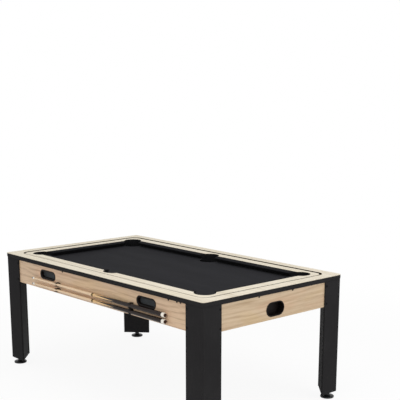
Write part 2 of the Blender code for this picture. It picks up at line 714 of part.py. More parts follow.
def add_clip(shop, name, place_x, depth):
    """One cue clip: a base plate with two screw ears and a U that the cue pulls out of."""
    distance = place_x - CUE_SHIFT + CUE_LENGTH / 2
    inside = cue_radius(distance + CLIP_JAW_LENGTH / 2) + CUE_CLEARANCE
    outside = inside + CLIP_JAW_WALL
    # The U lies in the YZ plane about the cue's axis, its straight arms running out to the front
    back = CUE_STAND_OFF - SEAT_GAP - CLIP_BASE_THICKNESS / 2
    inner_arc = arc_points(0, 0, inside, math.pi / 2, -math.pi / 2, SMALL_ROUND_STEPS // 2)
    outline = [
        (-CLIP_JAW_REACH, outside),
        (-CLIP_JAW_REACH, inside),
        *inner_arc,
        (-CLIP_JAW_REACH, -inside),
        (-CLIP_JAW_REACH, -outside),
        (back, -outside),
        (back, outside),
    ]
    height = TABLE_HEIGHT - depth
    jaw = shop.board((outline,), CLIP_JAW_LENGTH, "YZ")
    clip = shop.keep(name, jaw, "black_plastic", (place_x, CUE_CENTRE_Y, height))
    base = shop.board((stadium(CLIP_BASE_LENGTH / 2, CLIP_BASE_HEIGHT / 2),), CLIP_BASE_THICKNESS, "XZ")
    base_y = -(APRON_FACE_Y + SEAT_GAP + CLIP_BASE_THICKNESS / 2)
    shop.combine(clip, shop.cutter(base, (place_x, base_y, height)), "UNION")


def add_cues_and_clips(shop):
    """Two cues, each in two clips on the front apron."""
    for level, depth in CUE_DEPTHS.items():
        add_cue(shop, f"cue_{level}", depth)
        for end, sign_x in ENDS.items():
            add_clip(shop, f"cue_clip_{level}_{end}", sign_x * CLIP_OFFSET, depth)


def beam_end(place_x):
    """How far a beam reaches across at a distance along the table, up to the leg's diagonal."""
    gap = SEAT_GAP * math.hypot(DIAGONAL_RUN, DIAGONAL_RISE) / DIAGONAL_RUN
    return DIAGONAL_START_Y - (place_x - DIAGONAL_START_X) * DIAGONAL_RISE / DIAGONAL_RUN - gap


def add_beam(shop, end, sign_x):
    """The beam between the legs at one end, with the pivot's bore and the lock bolt's bore."""
    inner_reach = beam_end(BEAM_INNER_FACE)
    outer_reach = beam_end(BEAM_OUTER_FACE)
    plan = [
        (BEAM_INNER_FACE, inner_reach),
        (BEAM_INNER_FACE, -inner_reach),
        (BEAM_OUTER_FACE, -outer_reach),
        (BEAM_OUTER_FACE, outer_reach),
    ]
    mesh = shop.board((flipped(plan, sign_x, 1),), BEAM_HEIGHT)
    beam = shop.keep(f"pivot_beam_{end}", mesh, "pine_beam", (0, 0, AXIS_HEIGHT))
    middle_x = sign_x * (BEAM_INNER_FACE + BEAM_THICKNESS / 2)
    along_x = Matrix.Rotation(math.pi / 2, 3, "Y")
    reach = BEAM_THICKNESS + 2 * CUT_OVERRUN
    pivot_bore = shop.cylinder(SHAFT_RADIUS + RUNNING_GAP, reach, turn=along_x)
    shop.combine(beam, shop.cutter(pivot_bore, (middle_x, 0, AXIS_HEIGHT)), "DIFFERENCE")
    lock_bore = shop.cylinder(LOCK_RADIUS + RUNNING_GAP, reach, SMALL_ROUND_STEPS, along_x)
    lock_place = (middle_x, sign_x * LOCK_OFFSET, AXIS_HEIGHT)
    shop.combine(beam, shop.cutter(lock_bore, lock_place), "DIFFERENCE")


def add_lock_bolt(shop, end, sign_x):
    """The lock bolt at one end, drawn back: a bent rod through the beam with its handle hanging."""
    tip = LOCK_TIP_SETBACK
    handle_x = BEAM_THICKNESS + lock_travel() + LOCK_BEND_RADIUS + LOCK_HANDLE_CLEARANCE
    bend = arc_points(
        handle_x - LOCK_BEND_RADIUS, -LOCK_BEND_RADIUS, LOCK_BEND_RADIUS, math.pi / 2, 0, BEND_STEPS
    )
    route = [(tip, 0), *bend, (handle_x, -LOCK_HANDLE_LENGTH)]
    path = [(sign_x * x, 0, z) for x, z in route]
    mesh = shop.smooth(shop.rod(path, LOCK_RADIUS))
    place = (sign_x * BEAM_INNER_FACE, sign_x * LOCK_OFFSET, AXIS_HEIGHT)
    shop.keep(f"lock_bolt_{end}", mesh, "steel", place)


def lock_travel():
    """How far the bolt slides: through the gap and some way into the end panel's slot."""
    return BEAM_GAP + EDGING_THICKNESS + LOCK_ENGAGEMENT - LOCK_TIP_SETBACK


def add_pivot_shaft(shop, end, sign_x, axis):
    """The pivot at one end: a flange inside the end panel and a shaft that runs in the beam."""
    flange_face = PANEL_INSIDE_X - SEAT_GAP
    shaft_end = BEAM_OUTER_FACE + SHAFT_STAND_OUT
    inner_end = flange_face - SHAFT_FLANGE_THICKNESS - SHAFT_NUT_THICKNESS
    profile = [
        (0, shaft_end),
        (SHAFT_RADIUS - SHAFT_CHAMFER, shaft_end),
        (SHAFT_RADIUS, shaft_end - SHAFT_CHAMFER),
        (SHAFT_RADIUS, flange_face),
        (SHAFT_FLANGE_RADIUS, flange_face),
        (SHAFT_FLANGE_RADIUS, flange_face - SHAFT_FLANGE_THICKNESS),
        (SHAFT_NUT_RADIUS, flange_face - SHAFT_FLANGE_THICKNESS),
        (SHAFT_NUT_RADIUS, inner_end),
        (0, inner_end),
    ]
    shaft = shop.keep(f"pivot_shaft_{end}", shop.turned("shaft", profile), "steel", (0, 0, 0), axis)
    shaft.rotation_euler = (0, sign_x * math.pi / 2, 0)
    shop.spin(shaft)


def add_side_panels(shop, axis):
    """The cabinet's long oak walls; the back one has the blower's grille."""
    half = CORNER_CENTRE_X - SEAT_GAP
    middle_y = PANEL_FACE_Y - PANEL_THICKNESS / 2
    slots = []
    for step in range(-GRILLE_SLOTS_EACH_SIDE, GRILLE_SLOTS_EACH_SIDE + 1):
        shift = step * GRILLE_SLOT_PITCH
        half_height = math.sqrt(GRILLE_RADIUS ** 2 - shift ** 2)
        end_radius = GRILLE_SLOT_WIDTH / 2 - WELD_DISTANCE
        slot = rounded_rectangle(GRILLE_SLOT_WIDTH / 2, half_height, end_radius, BEND_STEPS)
        slots.append(moved(slot, BLOWER_OFFSET + shift, BLOWER_LIFT))
    holes = {"front": [], "back": slots}
    for side, sign_y in SIDES.items():
        outline = rectangle(half, PANEL_HEIGHT / 2)
        mesh = shop.board((outline, *holes[side]), PANEL_THICKNESS, "XZ")
        shop.keep(f"cabinet_side_{side}", mesh, "oak_apron", (0, sign_y * middle_y, 0), axis)


def add_end_panels(shop, axis):
    """The cabinet's end walls, with the lock slots, the pivot's hole and the puck outlet."""
    half = CORNER_CENTRE_Y - SEAT_GAP
    middle_x = PANEL_FACE_X - PANEL_THICKNESS / 2
    slot = rectangle(LOCK_SLOT_WIDTH / 2, LOCK_SLOT_LENGTH / 2)
    slots = [moved(slot, sign * LOCK_OFFSET, 0) for sign in (-1, 1)]
    outlet = rounded_rectangle(OUTLET_WIDTH / 2, OUTLET_HEIGHT / 2, OUTLET_CORNER_RADIUS, BEND_STEPS)
    outlet = moved(outlet, 0, -OUTLET_BOTTOM - OUTLET_HEIGHT / 2)
    bore = circle(SHAFT_RADIUS + SEAT_GAP)
    for end, sign_x in ENDS.items():
        outlines = (rectangle(half, PANEL_HEIGHT / 2), *slots, outlet, bore)
        mesh = shop.board(outlines, PANEL_THICKNESS, "YZ")
        shop.keep(f"cabinet_end_{end}", mesh, "oak_apron", (sign_x * middle_x, 0, 0), axis)


def add_corner_blocks(shop, axis):
    """The black quarter-round walls that join the cabinet's side and end panels."""
    radius = CABINET_CORNER_RADIUS - EDGING_THICKNESS
    outer = arc_points(0, 0, radius, 0, math.pi / 2, CORNER_STEPS)
    inner = arc_points(0, 0, radius - PANEL_THICKNESS, math.pi / 2, 0, CORNER_STEPS)
    for side, sign_y in SIDES.items():
        for end, sign_x in ENDS.items():
            mesh = shop.board((flipped(outer + inner, sign_x, sign_y),), PANEL_HEIGHT)
            place = (sign_x * CORNER_CENTRE_X, sign_y * CORNER_CENTRE_Y, 0)
            shop.keep(f"cabinet_corner_{side}_{end}", shop.smooth(mesh), "black_laminate", place, axis)


def add_edging(shop, name, level, axis):
    """The black band round the edge of a rim board."""
    outer = rounded_rectangle(CABINET_HALF_LENGTH, CABINET_HALF_WIDTH, CABINET_CORNER_RADIUS)
    inner = rounded_rectangle(PANEL_FACE_X, PANEL_FACE_Y, CABINET_CORNER_RADIUS - EDGING_THICKNESS)
    shop.keep(name, shop.board((outer, inner), RIM_THICKNESS), "black_laminate", (0, 0, level), axis)


def rim_outline():
    """A rim board's outer edge, inside its edging."""
    inset = EDGING_THICKNESS + SEAT_GAP
    return rounded_rectangle(
        CABINET_HALF_LENGTH - inset, CABINET_HALF_WIDTH - inset, CABINET_CORNER_RADIUS - inset
    )


def bed_outline():
    """The outline of a board that fits inside the cabinet's walls."""
    radius = CABINET_CORNER_RADIUS - EDGING_THICKNESS - PANEL_THICKNESS - SEAT_GAP
    return rounded_rectangle(PANEL_INSIDE_X - SEAT_GAP, PANEL_INSIDE_Y - SEAT_GAP, radius)


def add_hockey_side(shop, axis):
    """The hockey face: rim board, edging and glossy field, with a goal at each end."""
    rim_middle = -(CABINET_FACE - RIM_THICKNESS / 2)
    opening = rounded_rectangle(
        CABINET_HALF_LENGTH - RIM_WIDTH, CABINET_HALF_WIDTH - RIM_WIDTH, FIELD_CORNER_RADIUS
    )
    rim = shop.keep("hockey_rim", shop.board((rim_outline(), opening), RIM_THICKNESS), "oak_top",
                    (0, 0, rim_middle), axis)
    add_edging(shop, "hockey_rim_edging", rim_middle, axis)

    field_middle = -(RIM_INNER_FACE - SEAT_GAP - FIELD_THICKNESS / 2)
    field = shop.keep("hockey_field", shop.board((bed_outline(),), FIELD_THICKNESS), "hockey_gloss",
                      (0, 0, field_middle), axis)

    # The goal passes under the rim board and drops through a notch in the field's end
    goal_start = CABINET_HALF_LENGTH - RIM_WIDTH - CUT_OVERRUN
    goal_run = PANEL_INSIDE_X - goal_start
    goal_height = GOAL_SLOT_HEIGHT + FIELD_THICKNESS + SEAT_GAP + CUT_OVERRUN
    goal_low = -(RIM_INNER_FACE + GOAL_SLOT_HEIGHT)
    for sign_x in ENDS.values():
        place = (sign_x * (goal_start + goal_run / 2), 0, goal_low + goal_height / 2)
        goal = shop.cutter(shop.block(goal_run, GOAL_WIDTH, goal_height), place, axis)
        shop.combine(rim, goal, "DIFFERENCE")
        shop.combine(field, goal, "DIFFERENCE")


def pocket_places():
    """Each pocket's name, with its centre in the playfield's own plane and its radius."""
    places = {}
    for side, sign_y in SIDES.items():
        for end, sign_x in ENDS.items():
            corner = (sign_x * CORNER_POCKET_X, sign_y * CORNER_POCKET_Y, CORNER_POCKET_RADIUS)
            places[f"pocket_{side}_{end}"] = corner
        places[f"pocket_{side}_middle"] = (0, sign_y * SIDE_POCKET_Y, SIDE_POCKET_RADIUS)
    return places


def add_pool_side(shop, axis):
    """The pool face: rim board, edging and cloth-covered bed, all holed for the pockets."""
    rim_middle = CABINET_FACE - RIM_THICKNESS / 2
    opening = rounded_rectangle(POOL_OPENING_X, POOL_OPENING_Y, POOL_OPENING_RADIUS, BEND_STEPS)
    rim = shop.keep("pool_rim", shop.board((rim_outline(), opening), RIM_THICKNESS), "oak_top",
                    (0, 0, rim_middle), axis)
    add_edging(shop, "pool_rim_edging", rim_middle, axis)
    bed = shop.keep("pool_bed_cloth", shop.board((bed_outline(),), BED_THICKNESS), "black_cloth",
                    (0, 0, CLOTH_LEVEL - BED_THICKNESS / 2), axis)
    reach = CLOTH_DEPTH + BED_THICKNESS + 2 * CUT_OVERRUN
    middle = CABINET_FACE + CUT_OVERRUN - reach / 2
    for x, y, radius in pocket_places().values():
        hole = shop.cutter(shop.cylinder(radius, reach), (x, y, middle), axis)
        shop.combine(rim, hole, "DIFFERENCE")
        shop.combine(bed, hole, "DIFFERENCE")


def pocket_profile(radius):
    """A pocket cup's section from the middle of its floor, up the inside and down the outside."""
    outer = radius - SEAT_GAP
    inner = outer - POCKET_WALL
    top = CABINET_FACE - POCKET_TOP_DROP
    neck = CLOTH_LEVEL - BED_THICKNESS - SEAT_GAP
    bottom = CABINET_FACE - POCKET_DEPTH
    round_centre = outer - POCKET_TAPER - POCKET_BOTTOM_ROUND
    round_height = bottom + POCKET_BOTTOM_ROUND
    inner_round = arc_points(
        round_centre, round_height, POCKET_BOTTOM_ROUND - POCKET_WALL, -math.pi / 2, 0, POCKET_STEPS
    )
    outer_round = arc_points(
        round_centre, round_height, POCKET_BOTTOM_ROUND, 0, -math.pi / 2, POCKET_STEPS
    )
    return [
        (0, bottom + POCKET_WALL),
        *inner_round,
        (inner, neck),
        (inner, top),
        (outer, top),
        (outer, neck),
        *outer_round,
        (0, bottom),
    ]


def add_pockets(shop, axis):
    """Six pocket cups; above the cloth only the part of the wall under the rim stays."""
    mouth_height = CLOTH_DEPTH + CUT_OVERRUN
    mouth = shop.block(2 * POOL_OPENING_X, 2 * POOL_OPENING_Y, mouth_height)
    mouth_cutter = shop.cutter(mouth, (0, 0, CLOTH_LEVEL + mouth_height / 2), axis)
    for name, (x, y, radius) in pocket_places().items():
        profile = shop.turned(name, pocket_profile(radius))
        cup = shop.keep(name, profile, "black_plastic", (x, y, 0), axis)
        shop.spin(cup)
        shop.combine(cup, mouth_cutter, "DIFFERENCE")


def cushion_profile():
    """The cushion's section: distance in from the rim's edge, and height above the cloth."""
    under_rim = RIM_INNER_FACE - CLOTH_LEVEL - SEAT_GAP
    nose = arc_points(
        CUSHION_WIDTH - CUSHION_NOSE_RADIUS, CUSHION_NOSE_HEIGHT, CUSHION_NOSE_RADIUS,
        math.pi / 2, -math.pi / 4, BEND_STEPS,
    )
    return [
        (SEAT_GAP, CLOTH_DEPTH - CUSHION_TOP_DROP),
        *nose,
        (CUSHION_BASE_WIDTH, SEAT_GAP),
        (-CUSHION_TONGUE_WIDTH, SEAT_GAP),
        (-CUSHION_TONGUE_WIDTH, under_rim),
        (SEAT_GAP, under_rim),
    ]


def add_cushion(shop, name, start, stop, start_run, stop_run, turn, edge, axis):
    """One cushion between two places along its rail, each end sheared to the pocket's jaw.

    The section is drawn with its back to -Y, stretched along X, sheared at its ends,
    and then turned about Z to face its side of the table.
    """
    mesh = shop.board((cushion_profile(),), stop - start, "YZ")
    middle = (start + stop) / 2
    for vertex in mesh.vertices:
        share_in = vertex.co.y / CUSHION_WIDTH
        if vertex.co.x < 0:
            vertex.co.x += start_run * share_in
        else:
            vertex.co.x -= stop_run * share_in
    mesh.transform(Matrix.Translation((middle, -edge, CLOTH_LEVEL)))
    mesh.transform(Matrix.Rotation(turn, 4, "Z"))
    shop.keep(name, mesh, "black_cloth", (0, 0, 0), axis)


def half_chord(radius, offset):
    """Half the width of a circle at a line that passes its centre at a distance."""
    return math.sqrt(radius ** 2 - offset ** 2)


def add_cushions(shop, axis):
    """Two cushions on each long rail and one on each end rail."""
    corner_reach = half_chord(CORNER_POCKET_RADIUS, POOL_OPENING_Y - CORNER_POCKET_Y)
    corner_end = CORNER_POCKET_X - corner_reach - JAW_GAP
    middle_end = half_chord(SIDE_POCKET_RADIUS, POOL_OPENING_Y - SIDE_POCKET_Y) + JAW_GAP
    for side, turn in (("front", 0), ("back", math.pi)):
        left, right = ("left", "right") if side == "front" else ("right", "left")
        add_cushion(shop, f"cushion_{side}_{left}", -corner_end, -middle_end,
                    CORNER_JAW_RUN, SIDE_JAW_RUN, turn, POOL_OPENING_Y, axis)
        add_cushion(shop, f"cushion_{side}_{right}", middle_end, corner_end,
                    SIDE_JAW_RUN, CORNER_JAW_RUN, turn, POOL_OPENING_Y, axis)
    end_reach = half_chord(CORNER_POCKET_RADIUS, POOL_OPENING_X - CORNER_POCKET_X)
    end_stop = CORNER_POCKET_Y - end_reach - JAW_GAP
    for end, sign_x in ENDS.items():
        add_cushion(shop, f"cushion_{end}", -end_stop, end_stop,
                    CORNER_JAW_RUN, CORNER_JAW_RUN, sign_x * math.pi / 2, POOL_OPENING_X, axis)


def add_blower_housing(shop, axis):
    """The square blower frame on the back wall, with its hub held by struts."""
    frame_y = PANEL_INSIDE_Y - SEAT_GAP - BLOWER_DEPTH / 2
    outline = rounded_rectangle(BLOWER_SIZE / 2, BLOWER_SIZE / 2, BLOWER_CORNER_RADIUS, BEND_STEPS)
    frame = shop.board((outline, circle(BLOWER_BORE_RADIUS)), BLOWER_DEPTH, "XZ")
    housing = shop.keep("blower_housing", frame, "black_plastic", (BLOWER_OFFSET, frame_y, BLOWER_LIFT), axis)
    spider_y = frame_y - BLOWER_DEPTH / 2 + BLOWER_BACK_THICKNESS / 2
    along_y = Matrix.Rotation(math.pi / 2, 3, "X")
    hub = shop.cylinder(BLOWER_HUB_RADIUS, BLOWER_BACK_THICKNESS, turn=along_y)
    shop.combine(housing, shop.cutter(hub, (BLOWER_OFFSET, spider_y, BLOWER_LIFT), axis), "UNION")
    strut_length = BLOWER_BORE_RADIUS + CUT_OVERRUN - BLOWER_HUB_RADIUS + CUT_OVERRUN
    strut_middle = BLOWER_HUB_RADIUS - CUT_OVERRUN + strut_length / 2
    strut_thickness = BLOWER_BACK_THICKNESS - 2 * SEAT_GAP
    for step in range(BLOWER_STRUTS):
        turn = Matrix.Rotation(2 * math.pi * step / BLOWER_STRUTS + math.pi / BLOWER_STRUTS, 4, "Y")
        strut = shop.block(strut_length, strut_thickness, BLOWER_STRUT_WIDTH)
        strut.transform(turn @ Matrix.Translation((strut_middle, 0, 0)))
        shop.combine(housing, shop.cutter(strut, (BLOWER_OFFSET, spider_y, BLOWER_LIFT), axis), "UNION")


def blade_sheet():
    """One impeller blade as a cambered, twisted sheet, root inside the hub; the axis is Y."""
    root = IMPELLER_HUB_RADIUS - BLADE_ROOT_SINK
    tip = BLOWER_BORE_RADIUS - IMPELLER_TIP_GAP
    points = []
    for station in range(BLADE_STATIONS + 1):
        share = station / BLADE_STATIONS
        radius = root + (tip - root) * share
        pitch = BLADE_ROOT_PITCH + (BLADE_TIP_PITCH - BLADE_ROOT_PITCH) * share
        for edge in (-1, 0, 1):
            along = edge * BLADE_CHORD / 2
            bulge = BLADE_CAMBER if edge == 0 else 0
            sweep = along * cos(pitch) / radius
            points.append((radius * cos(sweep), along * sin(pitch) + bulge, radius * sin(sweep)))
    faces = []
    for station in range(BLADE_STATIONS):
        for edge in range(2):
            here = station * 3 + edge
            faces.append((here, here + 1, here + 4, here + 3))
    return points, faces


def add_impeller(shop, axis):
    """The blower's impeller: a hub with a ring of twisted blades."""
    housing_back = PANEL_INSIDE_Y - SEAT_GAP - BLOWER_DEPTH
    hub_y = housing_back + BLOWER_BACK_THICKNESS + SEAT_GAP + IMPELLER_HUB_DEPTH / 2
    along_y = Matrix.Rotation(math.pi / 2, 3, "X")
    hub = shop.smooth(shop.cylinder(IMPELLER_HUB_RADIUS, IMPELLER_HUB_DEPTH, turn=along_y))
    place = (BLOWER_OFFSET, hub_y, BLOWER_LIFT)
    impeller = shop.keep("blower_impeller", hub, "black_plastic", place, axis)
    points, faces = blade_sheet()
    for step in range(IMPELLER_BLADES):
        sheet = bpy.data.meshes.new("blade")
        sheet.from_pydata(points, [], faces)
        sheet.transform(Matrix.Rotation(2 * math.pi * step / IMPELLER_BLADES, 4, "Y"))
        blade = shop.cutter(sheet, place, axis)
        solidify = blade.modifiers.new("thickness", "SOLIDIFY")
        solidify.thickness = BLADE_THICKNESS
        solidify.offset = 0
        shop.combine(impeller, blade, "UNION")


def add_playfield(shop):
    """The playfield cabinet, all of it on an empty that stands on the turning axis."""
    axis = shop.axis("playfield_axis", (0, 0, AXIS_HEIGHT))
    add_side_panels(shop, axis)
    add_end_panels(shop, axis)
    add_corner_blocks(shop, axis)
    add_hockey_side(shop, axis)
    add_pool_side(shop, axis)
    add_pockets(shop, axis)
    add_cushions(shop, axis)
    add_blower_housing(shop, axis)
    add_impeller(shop, axis)
    for end, sign_x in ENDS.items():
        add_pivot_shaft(shop, end, sign_x, axis)


def main():
    """Build the table."""
    clear_scene()
    shop = Workshop()
    add_top_frame(shop)
    add_legs(shop)
    add_aprons(shop)
    add_window_trays(shop)
    add_cues_and_clips(shop)
    for end, sign_x in ENDS.items():
        add_beam(shop, end, sign_x)
        add_lock_bolt(shop, end, sign_x)
    add_playfield(shop)


main()
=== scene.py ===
"""Finishes and fine pieces of the multi game table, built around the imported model.

Lengths are metres, and heights are above the floor unless a line says otherwise. X runs along the
table, Z is up, and the side with the cue clips faces -Y.
"""

from __future__ import annotations

import json
import logging
import math
from collections.abc import Sequence
from dataclasses import dataclass
from enum import Enum

import bmesh
import bpy
import numpy as np
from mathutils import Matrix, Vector
from mathutils.geometry import tessellate_polygon

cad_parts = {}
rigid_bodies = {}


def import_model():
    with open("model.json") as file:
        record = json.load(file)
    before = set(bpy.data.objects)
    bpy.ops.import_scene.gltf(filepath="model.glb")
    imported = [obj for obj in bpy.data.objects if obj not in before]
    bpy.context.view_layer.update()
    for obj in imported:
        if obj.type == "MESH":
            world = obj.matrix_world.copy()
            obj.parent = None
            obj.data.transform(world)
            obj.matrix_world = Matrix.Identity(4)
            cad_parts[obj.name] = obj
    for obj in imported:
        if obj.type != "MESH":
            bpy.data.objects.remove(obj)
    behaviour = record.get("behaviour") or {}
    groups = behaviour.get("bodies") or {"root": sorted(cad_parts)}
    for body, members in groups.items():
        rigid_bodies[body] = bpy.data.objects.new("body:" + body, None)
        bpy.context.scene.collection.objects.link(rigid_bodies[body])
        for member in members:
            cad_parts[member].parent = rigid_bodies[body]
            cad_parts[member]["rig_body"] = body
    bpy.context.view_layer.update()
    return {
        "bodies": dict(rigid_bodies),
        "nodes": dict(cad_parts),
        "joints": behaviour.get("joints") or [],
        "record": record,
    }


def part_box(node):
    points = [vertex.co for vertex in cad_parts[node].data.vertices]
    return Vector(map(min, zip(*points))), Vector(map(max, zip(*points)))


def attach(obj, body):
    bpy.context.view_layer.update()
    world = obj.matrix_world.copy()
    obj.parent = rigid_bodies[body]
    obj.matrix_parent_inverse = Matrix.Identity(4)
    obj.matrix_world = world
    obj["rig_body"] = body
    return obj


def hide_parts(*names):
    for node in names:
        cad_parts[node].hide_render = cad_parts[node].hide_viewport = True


LOG = logging.getLogger("games_table")
SIDES = {"front": -1.0, "back": 1.0}
ENDS = {"left": -1.0, "right": 1.0}
CORNERS = {f"{side}_{end}": (sx, sy) for side, sy in SIDES.items() for end, sx in ENDS.items()}
QUARTER = math.pi / 2
SMOOTH_ANGLE = math.radians(32)
CUSHION_ANGLE = math.radians(40)
FLAT_ANGLE = math.radians(0.5)
WELD = 1e-6
REPEAT = 1e-5
TINY = 1e-9
EVEN = (1.0, 1.0, 1.0)
WHITE = (1.0, 1.0, 1.0, 1.0)
Triple = tuple[float, float, float]
Colour = Triple
Inputs = dict[str | int, object]
Piece = bpy.types.Object


# Shader sums


class Socket:
    """A shader output that takes part in sums; each sum adds its own Math node."""

    def __init__(self, graph: Graph, link: bpy.types.NodeSocket) -> None:
        """Keep the graph and the output that this value stands for."""
        self.graph = graph
        self.link = link

    def sum(self, operation: str, *others: Socket | float) -> Socket:
        """One Math node with this value as its first input."""
        return self.graph.math(operation, self, *others)

    def __add__(self, other: Socket | float) -> Socket:
        """This value plus another."""
        return self.sum("ADD", other)

    def __sub__(self, other: Socket | float) -> Socket:
        """This value less another."""
        return self.sum("SUBTRACT", other)

    def __mul__(self, other: Socket | float) -> Socket:
        """This value times another."""
        return self.sum("MULTIPLY", other)

    def __rsub__(self, other: float) -> Socket:
        """A number less this value."""
        return self.graph.math("SUBTRACT", other, self)

    __radd__ = __add__
    __rmul__ = __mul__

    def step(self, low: float, high: float) -> Socket:
        """A smooth step from 0 at low to 1 at high, which may be below low."""
        inputs = {"Value": self, "From Min": low, "From Max": high}
        return self.graph.value("ShaderNodeMapRange", "Result", inputs, interpolation_type="SMOOTHSTEP")


class Graph:
    """The node graph of a material or of the world, from an empty tree to its output."""

    def __init__(self, name: str, world: bpy.types.World | None = None) -> None:
        """Start an empty tree.

        Args:
            name: The new material's name.
            world: The world that the tree belongs to, in place of a new material.
        """
        self.owner = world or bpy.data.materials.new(name)
        self.owner.use_nodes = True
        self.tree = self.owner.node_tree
        self.tree.nodes.clear()

    def node(self, kind: str, inputs: Inputs | None = None, **settings: object) -> bpy.types.Node:
        """Any node, its settings first and then its inputs.

        Args:
            kind: The node's type.
            inputs: Values or links by the socket's identifier, name or number.
            settings: The node's own settings.

        Returns:
            The node.
        """
        node = self.tree.nodes.new(kind)
        for key, value in settings.items():
            setattr(node, key, value)
        for key, value in (inputs or {}).items():
            found = [place for place in node.inputs if place.identifier == key] or [node.inputs[key]]
            if isinstance(value, Socket):
                self.tree.links.new(value.link, found[0])
            else:
                found[0].default_value = value
        return node

    def value(self, kind: str, output: str | int, inputs: Inputs | None = None,
              **settings: object) -> Socket:
        """One output of a new node, by its name or number."""
        return Socket(self, self.node(kind, inputs, **settings).outputs[output])

    def math(self, operation: str, *values: Socket | float) -> Socket:
        """One Math node with its inputs in order."""
        return self.value("ShaderNodeMath", 0, dict(enumerate(values)), operation=operation)

    def places(self, stretch: Triple = EVEN, source: str = "Object") -> Socket:
        """The model's coordinates, or for UV the piece's own map, stretched along each axis."""
        found = self.value("ShaderNodeTexCoord", source)
        return self.value("ShaderNodeMapping", "Vector", {"Vector": found, "Scale": stretch})

    def axes(self, vector: Socket) -> tuple[Socket, ...]:
        """The three parts of a vector."""
        split = self.node("ShaderNodeSeparateXYZ", {"Vector": vector})
        return tuple(Socket(self, part) for part in split.outputs)

    def noise(self, where: Socket | Triple, scale: float, detail: float = 3.0, roughness: float = 0.5,
              warp: float = 0.0) -> Socket:
        """Cloudy noise from 0 to 1.

        Args:
            where: Where it is read, or how the model's coordinates are stretched for it.
            scale: Waves per unit.
            detail: Octaves.
            roughness: How much each octave keeps.
            warp: How far the noise pulls itself about.

        Returns:
            The noise.
        """
        vector = where if isinstance(where, Socket) else self.places(where)
        inputs = {"Vector": vector, "Scale": scale, "Detail": detail, "Roughness": roughness,
                  "Distortion": warp}
        return self.value("ShaderNodeTexNoise", "Fac", inputs)

    def mix(self, share: Socket | float, first: Socket | Colour, second: Socket | Colour,
            blend: str = "MIX") -> Socket:
        """Two colours mixed by a share.

        Args:
            share: How much of the second shows.
            first: The colour at 0.
            second: The colour at 1.
            blend: How the second is laid on the first.

        Returns:
            The mixed colour.
        """
        full = [colour if isinstance(colour, Socket) else (*colour, 1.0) for colour in (first, second)]
        inputs = {"Factor_Float": share, "A_Color": full[0], "B_Color": full[1]}
        return self.value("ShaderNodeMix", 2, inputs, data_type="RGBA", blend_type=blend)

    def bump(self, height: Socket, depth: float, strength: float = 1.0) -> Socket:
        """A surface normal from a height of 0 to 1, whose 1 stands for the depth in metres."""
        inputs = {"Height": height, "Distance": depth, "Strength": strength}
        return self.value("ShaderNodeBump", "Normal", inputs)

    def finish(self, **inputs: object) -> bpy.types.Material:
        """Close the graph with one Principled shader.

        Args:
            inputs: The shader's sockets, with underscores for spaces.

        Returns:
            The material.
        """
        named = {key.replace("_", " "): value for key, value in inputs.items()}
        shader = self.value("ShaderNodeBsdfPrincipled", "BSDF", named)
        self.node("ShaderNodeOutputMaterial", {"Surface": shader})
        return self.owner


# Finishes


def scaled(colour: Colour, share: float) -> Colour:
    """A colour with each part times a share."""
    return tuple(part * share for part in colour)


class Grain(Enum):
    """Which way a board's grain runs, as the number of the axis."""

    ALONG_X = 0
    ALONG_Y = 1

    def stretched(self, across: float) -> Triple:
        """A stretch of 1 along the grain and of more across it."""
        return tuple(1.0 if axis == self.value else across for axis in range(3))


